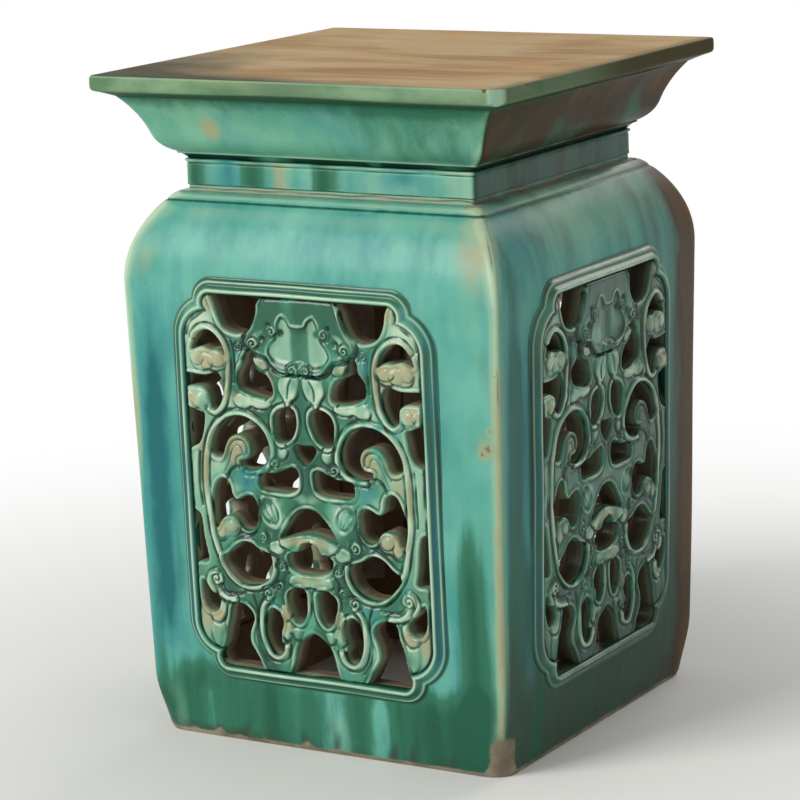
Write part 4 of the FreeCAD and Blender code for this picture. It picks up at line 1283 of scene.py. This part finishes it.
def make_neck():
    """The neck band: a flat band with a bead round its top, glazed in broken runs."""
    half, base, top = NECK_HALF, NECK_BASE, NECK_TOP
    # The dark pooled glaze of the lowest rows is a painted shadow line under the band's lower edge
    profile = [(RING_INSIDE, base, 2, 0, 1), (half - 1.2, base, 3.0, 0, 1.0),
               (half - 0.2, base + 0.4, 3.4, 0.1, 0.8), (half, base + 1.2, 3.6, 0.3, 0.2)]
    profile += [(half - 0.15, height, 3.6, 0.1, 0.0) for height in np.linspace(base + 2.5, top - 4.0, 8)]
    profile += [(half + reach, top + height, 3.6, light, dark) for reach, height, light, dark in NECK_BEAD]
    profile.append((RING_INSIDE, top, 2, 0, 1))
    verts, faces = square_rings(profile, 60, 4)
    count = len(verts)
    right, along, corner = side_marks(verts)
    outer = np.maximum(np.abs(verts[:, 0]), np.abs(verts[:, 1])) > half - 4
    verts = verts + (verts * [1, 1, 0] / 112 * (0.25 * waves(verts, 60, 5) * outer)[:, None])
    patchy = around_waves(along, 0 * along, 22, 15)
    left = 1 - right
    dark_runs = bump(along, -105, 8) + 0.8 * bump(along, -57, 10) + 1.15 * bump(along, -3, 9)
    blue_runs = bump(along, -79, 7) + 1.1 * bump(along, 60, 11) * soft_step(base + 2, base + 12, verts[:, 2])
    # Pale places on all but the right side; the broad ones to the right of the middle also paint light over
    # the shade that the crown casts
    pale_places = (0.5 * soft_step(100, 111, corner) + 0.55 * bump(along, -32, 10)
                   + 0.30 * bump(along, 28, 16) + 0.45 * bump(along, 102, 16) + 0.2 * patchy)
    marks = {
        "pale": along_rings(profile, 3, count) + left * pale_places,
        "pool_and_shade": along_rings(profile, 4, count) * (0.9 + 0.3 * patchy) + right * 0.4 * np.maximum(patchy, 0),
        "blue": 0.28 + left * 0.5 * blue_runs,
        "green": 0.12 + left * 0.85 * dark_runs + 0.15 * patchy,
        "ochre": left * 0.5 * bump(along, -36, 8),
        # Painted shade and a painted brown reflection on the right side
        "painted_shade_and_mottle": right * 1.0,
        "brown": right * (0.35 + 0.3 * patchy),
        "inside": np.where(outer, 0.0, 1.0),
    }
    necks = ["neck_" + side for side in SIDES]
    make_object("neck_band", verts, faces, marks, neck_glaze, necks, 50)


def make_joint_line():
    """Glaze pooled in the corner under the crown: dark, with pale breaks."""
    low, high = NECK_TOP - 0.2, CROWN_FOOT[1] + 0.2
    profile = [(RING_INSIDE, low, 2), (NECK_HALF - 1.6, low, 3.0), (NECK_HALF - 0.6, low + 1.0, 3.2),
               (NECK_HALF + 0.6, low + 2.2, 3.2), (NECK_HALF + 2.6, high, 3.2), (RING_INSIDE, high, 2)]
    verts, faces = square_rings(profile, 60, 4)
    right, along, _ = side_marks(verts)
    left = 1 - right
    pool_and_shade = 1.1 - left * (0.8 * bump(along, -42, 15) + 0.6 * bump(along, 38, 6) + 0.4 * bump(along, 96, 16))
    marks = {"pool_and_shade": pool_and_shade, "pale": left * 0.3 * bump(along, -31, 8), "green": np.full(len(verts), 0.3),
             "brown": right * 0.6}
    make_object("crown_joint_glaze", verts, faces, marks, neck_glaze, ["crown_joint_coil"], 40)


def make_shoulder_joint():
    """The joint under the neck: pale thin glaze over a ragged line of clay."""
    half, low, high = SHOULDER_JOINT_HALF, WALL_TOP[1] - 0.1, NECK_BASE + 0.1
    profile = [(RING_INSIDE, low, 2), (half, low, 3.0)]
    profile += [(half, height, 3.0) for height in np.linspace(low + 0.5, high - 0.5, 7)]
    profile += [(half, high, 3.0), (RING_INSIDE, high, 2)]
    verts, faces = square_rings(profile, 110, 4)
    right, along, _ = side_marks(verts)
    rag = around_waves(along, right, 24, 17)
    level = verts[:, 2] - low - 1.5 - 0.8 * rag
    # Pale thin glaze on all but the right side, which gets painted shade and a painted brown reflection
    marks = {"clay": 0.95 * soft_step(1.2, 0.2, np.abs(level)), "pale": (1 - right) * 0.85,
             "green": np.full(len(verts), 0.2), "painted_shade_and_mottle": right * 0.6, "brown": right * 0.3}
    make_object("shoulder_joint_glaze", verts, faces, marks, neck_glaze, ["shoulder_joint_coil"],
                40)


def make_crown():
    """The crown: a convex curve that runs into a hollow one, with painted shade and a painted brown
    reflection on the right side.
    """
    lower, way = tangent_arc(CROWN_LIP, (math.sin(CROWN_ANGLE), math.cos(CROWN_ANGLE)), CROWN_WAIST, 16)
    upper, _ = tangent_arc(CROWN_WAIST, way, CROWN_TOP, 18)
    foot, rise = CROWN_FOOT
    profile = [(RING_INSIDE, rise, 2, 0, 1), (foot - 2.5, rise, 2, 0.2, 0.8),
               (foot - 0.6, rise + 0.1, 2.4, 0.7, 0.0), (foot - 0.05, rise + 0.6, 2.6, 0.8, 0)]
    for half, height in np.concatenate([lower, upper[1:]]):
        light = 0.35 * float(soft_step(409, 405, height)) + 0.12
        dark = 0.45 * float(soft_step(440, 444.5, height))
        profile.append((half - 0.15, height, 2.8, light, dark))
    profile.append((CROWN_TOP[0] - 17, CROWN_TOP[1], 2, 0, 1))
    verts, faces = square_rings(profile, 66, 4)
    count = len(verts)
    right, along, corner = side_marks(verts)
    z = verts[:, 2]
    half, height = np.transpose([CROWN_FOOT, CROWN_LIP, CROWN_WAIST, CROWN_TOP])
    half = np.interp(z, height, half)
    outer = np.maximum(np.abs(verts[:, 0]), np.abs(verts[:, 1])) > half - 8
    verts = verts + (verts * [1, 1, 0] / 130 * (0.5 * waves(verts, 85, 6) * outer - 0.3)[:, None])
    from_corner = half - corner
    patchy = waves(verts, 42, 16)
    left = 1 - right
    marks = {
        "pale": (along_rings(profile, 3, count)
                 + left * (0.5 * soft_step(7, 1.5, from_corner) + 0.25 * patchy)),
        "pool_and_shade": along_rings(profile, 4, count),
        "blue": 0.16 + left * (0.22 * bump(along, -10, 36) * bump(z, 425, 16) + 0.15 * np.maximum(patchy, 0)),
        "green": 0.22 + 0.25 * bump(along, 85, 50) + 0.3 * soft_step(432, 444, z) + right * 0.4,
        "ochre": left * (0.75 * bump(along, -78, 9) * bump(z, 424, 12) + 0.45 * soft_step(5, 1, from_corner)),
        # Painted shade and a painted brown reflection on the right side
        "painted_shade_and_mottle": right * 0.5,
        "brown": right * (0.9 + 0.35 * patchy + 0.5 * soft_step(-60, 90, along) * soft_step(412, 440, z)),
        "inside": np.where(outer, 0.0, 1.0),
    }
    crowns = ["crown_" + side for side in SIDES]
    make_object("crown", verts, faces, marks, crown_glaze, crowns, 50)


def chip_at(x, y, z, place, outer):
    """How deep a point is in a chip of the seat's edge."""
    away = np.hypot(np.hypot(x - place[0], y - place[1]), (z - place[2]) * 1.2)
    return soft_step(outer, 1.0, away)


def make_seat():
    """The seat slab: a flat underside, a cove, the edge, a soft arris and a slightly dished top,
    with its front right corner worn flat and two chips by it."""
    half = SEAT_HALF - 0.12
    edge = [(half, height, 3.8, 0.0) for height in (452.5, 454.5, 456.5)]
    over = [(half - 0.1, 457.9, 3.8, 0), (half - 0.4, 458.9, 3.8, 0), (half - 1.1, 459.6, 3.6, 0),
            (half - 2.2, 459.9, 3.4, 0.0)]
    flat = [(reach, 459.95, 3.2 * reach / half, 0) for reach in SEAT_RINGS]
    profile = SEAT_UNDER + edge + over + flat
    verts, faces = square_rings(profile, 90, 4, closed=False)
    count = len(verts)
    around = count // len(profile)
    faces.append(tuple(range(around))[::-1])
    faces.append(tuple(range(count - around, count)))
    x, y, _ = verts.T
    right, along, _ = side_marks(verts)
    row = np.repeat(np.arange(len(profile)), around)
    arris = len(SEAT_UNDER) + len(edge) + 1
    from_edge = SEAT_HALF - np.maximum(np.abs(x), np.abs(y))
    on_top = row > arris
    drop = -0.9 * soft_step(4, 80, from_edge) + 0.5 * waves(verts, 70, 8) * soft_step(2, 25, from_edge) - 0.3
    inward = -0.3 * (1 + waves(verts, 75, 9)) * ~on_top
    wide = np.abs(x) > np.abs(y)
    verts = verts + np.column_stack([np.sign(x) * inward * wide, np.sign(y) * inward * ~wide,
                                     np.minimum(drop, 0) * on_top])
    x, y, z = verts.T
    worn = np.maximum((x - y) / math.sqrt(2) - SEAT_FACET, 0)
    verts = verts - np.column_stack([worn, -worn, worn * 0]) / math.sqrt(2)
    chip = chip_at(x, y, z, (146.5, -157.0, 459.2), 3.2)
    chip = np.maximum(chip, chip_at(x, y, z, (157, -121, 458.6), 2.6))
    verts = verts - np.column_stack([chip * 0.4, -chip * 0.4, chip * 0.5])
    rim = (1.15 * soft_step(130, 10, x + SEAT_HALF) * soft_step(60, -120, y)
           + 0.95 * soft_step(46, 4, y + SEAT_HALF) * soft_step(130, -60, x)
           + 0.5 * soft_step(18, 2, SEAT_HALF - x))
    marks = {
        "top": (on_top & (from_edge > 1.6)).astype(float),
        "rim": on_top * rim,
        "pool_and_shade": along_rings(profile, 3, count) + 0.42 * bump(along, -5, 55) * (1 - right) * ~on_top,
        # Pale on the worn corner; the arris off the right side gets a painted highlight
        "pale": np.minimum(worn, 1) * ~on_top + 0.5 * (row == arris) * (1 - right),
        # Painted shade over the right side's edge, but for the worn corner
        "painted_shade_and_mottle": right * (0.55 + 0.4 * soft_step(-60, 60, along)) * (worn < 0.3),
        "clay": chip,
    }
    make_object("seat_slab_glazed", verts, faces, marks, seat_material, ["seat_slab"], 35)


def dress_inner_pieces():
    """The coils inside the stool keep their solids and get the bare clay."""
    for name in [*("corner_coil_" + corner for corner in CORNERS), "seat_joint_coil"]:
        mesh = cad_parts[name].data
        mesh.materials.clear()
        mesh.materials.append(bare_clay)


# Floor, light and camera

FLOOR_REACH = 6.0
LAMP_AIM = (0, 0, 0.24)
SKY_STRENGTH = 0.27


def make_floor():
    """A pale floor that holds the shadow and turns white away from the stool."""
    material = bpy.data.materials.new("floor")
    n = Nodes(material)
    paint = n.add("ShaderNodeBsdfPrincipled")
    paint.inputs["Base Color"].default_value = (0.88, 0.88, 0.87, 1)
    paint.inputs["Roughness"].default_value = 0.9
    white = n.add("ShaderNodeEmission")
    away = n.add("ShaderNodeVectorMath", operation="LENGTH")
    n.put(away.inputs[0], n.add("ShaderNodeNewGeometry").outputs["Position"])
    path = n.add("ShaderNodeLightPath")
    seen = n.math("MAXIMUM", path.outputs["Is Camera Ray"], path.outputs["Is Glossy Ray"])
    seen = n.math("MAXIMUM", seen, path.outputs["Is Transmission Ray"])
    blend = n.add("ShaderNodeMixShader")
    far_off = n.math("MULTIPLY", n.step(away.outputs["Value"], 0.15, 0.95), seen)
    ground = n.fill(blend, (far_off, paint.outputs[0], white.outputs[0]))
    n.put(n.add("ShaderNodeOutputMaterial").inputs[0], ground)
    mesh = bpy.data.meshes.new("floor")
    far = FLOOR_REACH
    corners = [(-far, -far, 0), (far, -far, 0), (far, far, 0), (-far, far, 0)]
    mesh.from_pydata(corners, [], [(0, 1, 2, 3)])
    mesh.materials.append(material)
    floor = bpy.data.objects.new("floor", mesh)
    bpy.context.scene.collection.objects.link(floor)


def add_lamp(name, place, size, power, colour):
    data = bpy.data.lights.new(name, "AREA")
    data.shape = "RECTANGLE"
    data.size, data.size_y = size
    data.energy = power
    data.color = colour
    lamp = bpy.data.objects.new(name, data)
    lamp.location = place
    lamp.rotation_euler = (Vector(LAMP_AIM) - Vector(place)).to_track_quat("-Z", "Y").to_euler()
    bpy.context.scene.collection.objects.link(lamp)


def make_lights():
    """A large soft key from the front left and above, two weak ones, and an even pale sky."""
    add_lamp("key", (-1.5, -3.0, 2.1), (1.8, 1.8), 107, (1.0, 0.98, 0.94))
    add_lamp("fill", (2.6, -0.6, 1.1), (1.6, 1.6), 5, (1.0, 0.9, 0.8))
    add_lamp("back", (0.4, 2.6, 2.2), (2.2, 1.6), 34, (1.0, 0.97, 0.92))
    world = bpy.data.worlds.new("studio")
    bpy.context.scene.world = world
    n = Nodes(world)
    path = n.add("ShaderNodeLightPath")
    both = n.math("MAXIMUM", path.outputs["Is Glossy Ray"], path.outputs["Is Transmission Ray"])
    seen = n.math("ADD", path.outputs["Is Camera Ray"], both, clamp=True)
    strength = n.add("ShaderNodeMapRange")
    strength.inputs["To Min"].default_value = SKY_STRENGTH
    strength.inputs["To Max"].default_value = 1.0
    n.put(strength.inputs[0], seen)
    background = n.add("ShaderNodeBackground")
    background.inputs[0].default_value = (1.0, 1.0, 1.0, 1)
    n.put(background.inputs[1], strength.outputs[0])
    n.put(n.add("ShaderNodeOutputWorld").inputs[0], background.outputs[0])


def make_camera():
    """The photograph's view, from the front right and a little above."""
    azimuth, elevation, roll = math.radians(30.92), math.radians(12.15), math.radians(-1.98)
    distance, aim, focal_pixels, picture = 2289.9, (-13.9, -11.1), 3273.0, 800
    sin_a, cos_a = math.sin(azimuth), math.cos(azimuth)
    sin_e, cos_e = math.sin(elevation), math.cos(elevation)
    back = Vector((sin_a * cos_e, -cos_a * cos_e, sin_e))
    right = Vector((cos_a, sin_a, 0))
    up = back.cross(right)
    turned_right = right * math.cos(roll) + up * math.sin(roll)
    turned_up = up * math.cos(roll) - right * math.sin(roll)
    target = Vector((0, 0, 230)) + right * aim[0] + up * aim[1]
    place = (target + back * distance) / 1000
    data = bpy.data.cameras.new("camera")
    data.sensor_width = 36.0
    data.lens = focal_pixels * data.sensor_width / picture
    data.clip_start, data.clip_end = 0.05, 50
    camera = bpy.data.objects.new("camera", data)
    turn = Matrix((turned_right, turned_up, back)).transposed().to_4x4()
    camera.matrix_world = Matrix.Translation(place) @ turn
    bpy.context.scene.collection.objects.link(camera)
    bpy.context.scene.camera = camera


make_body()
for side_turn in range(4):
    make_rim(side_turn)
make_tiles()
make_neck()
make_joint_line()
make_shoulder_joint()
make_crown()
make_seat()
dress_inner_pieces()
make_floor()
make_lights()
make_camera()
bpy.context.scene.view_settings.view_transform = "Standard"

bpy.context.view_layer.update()
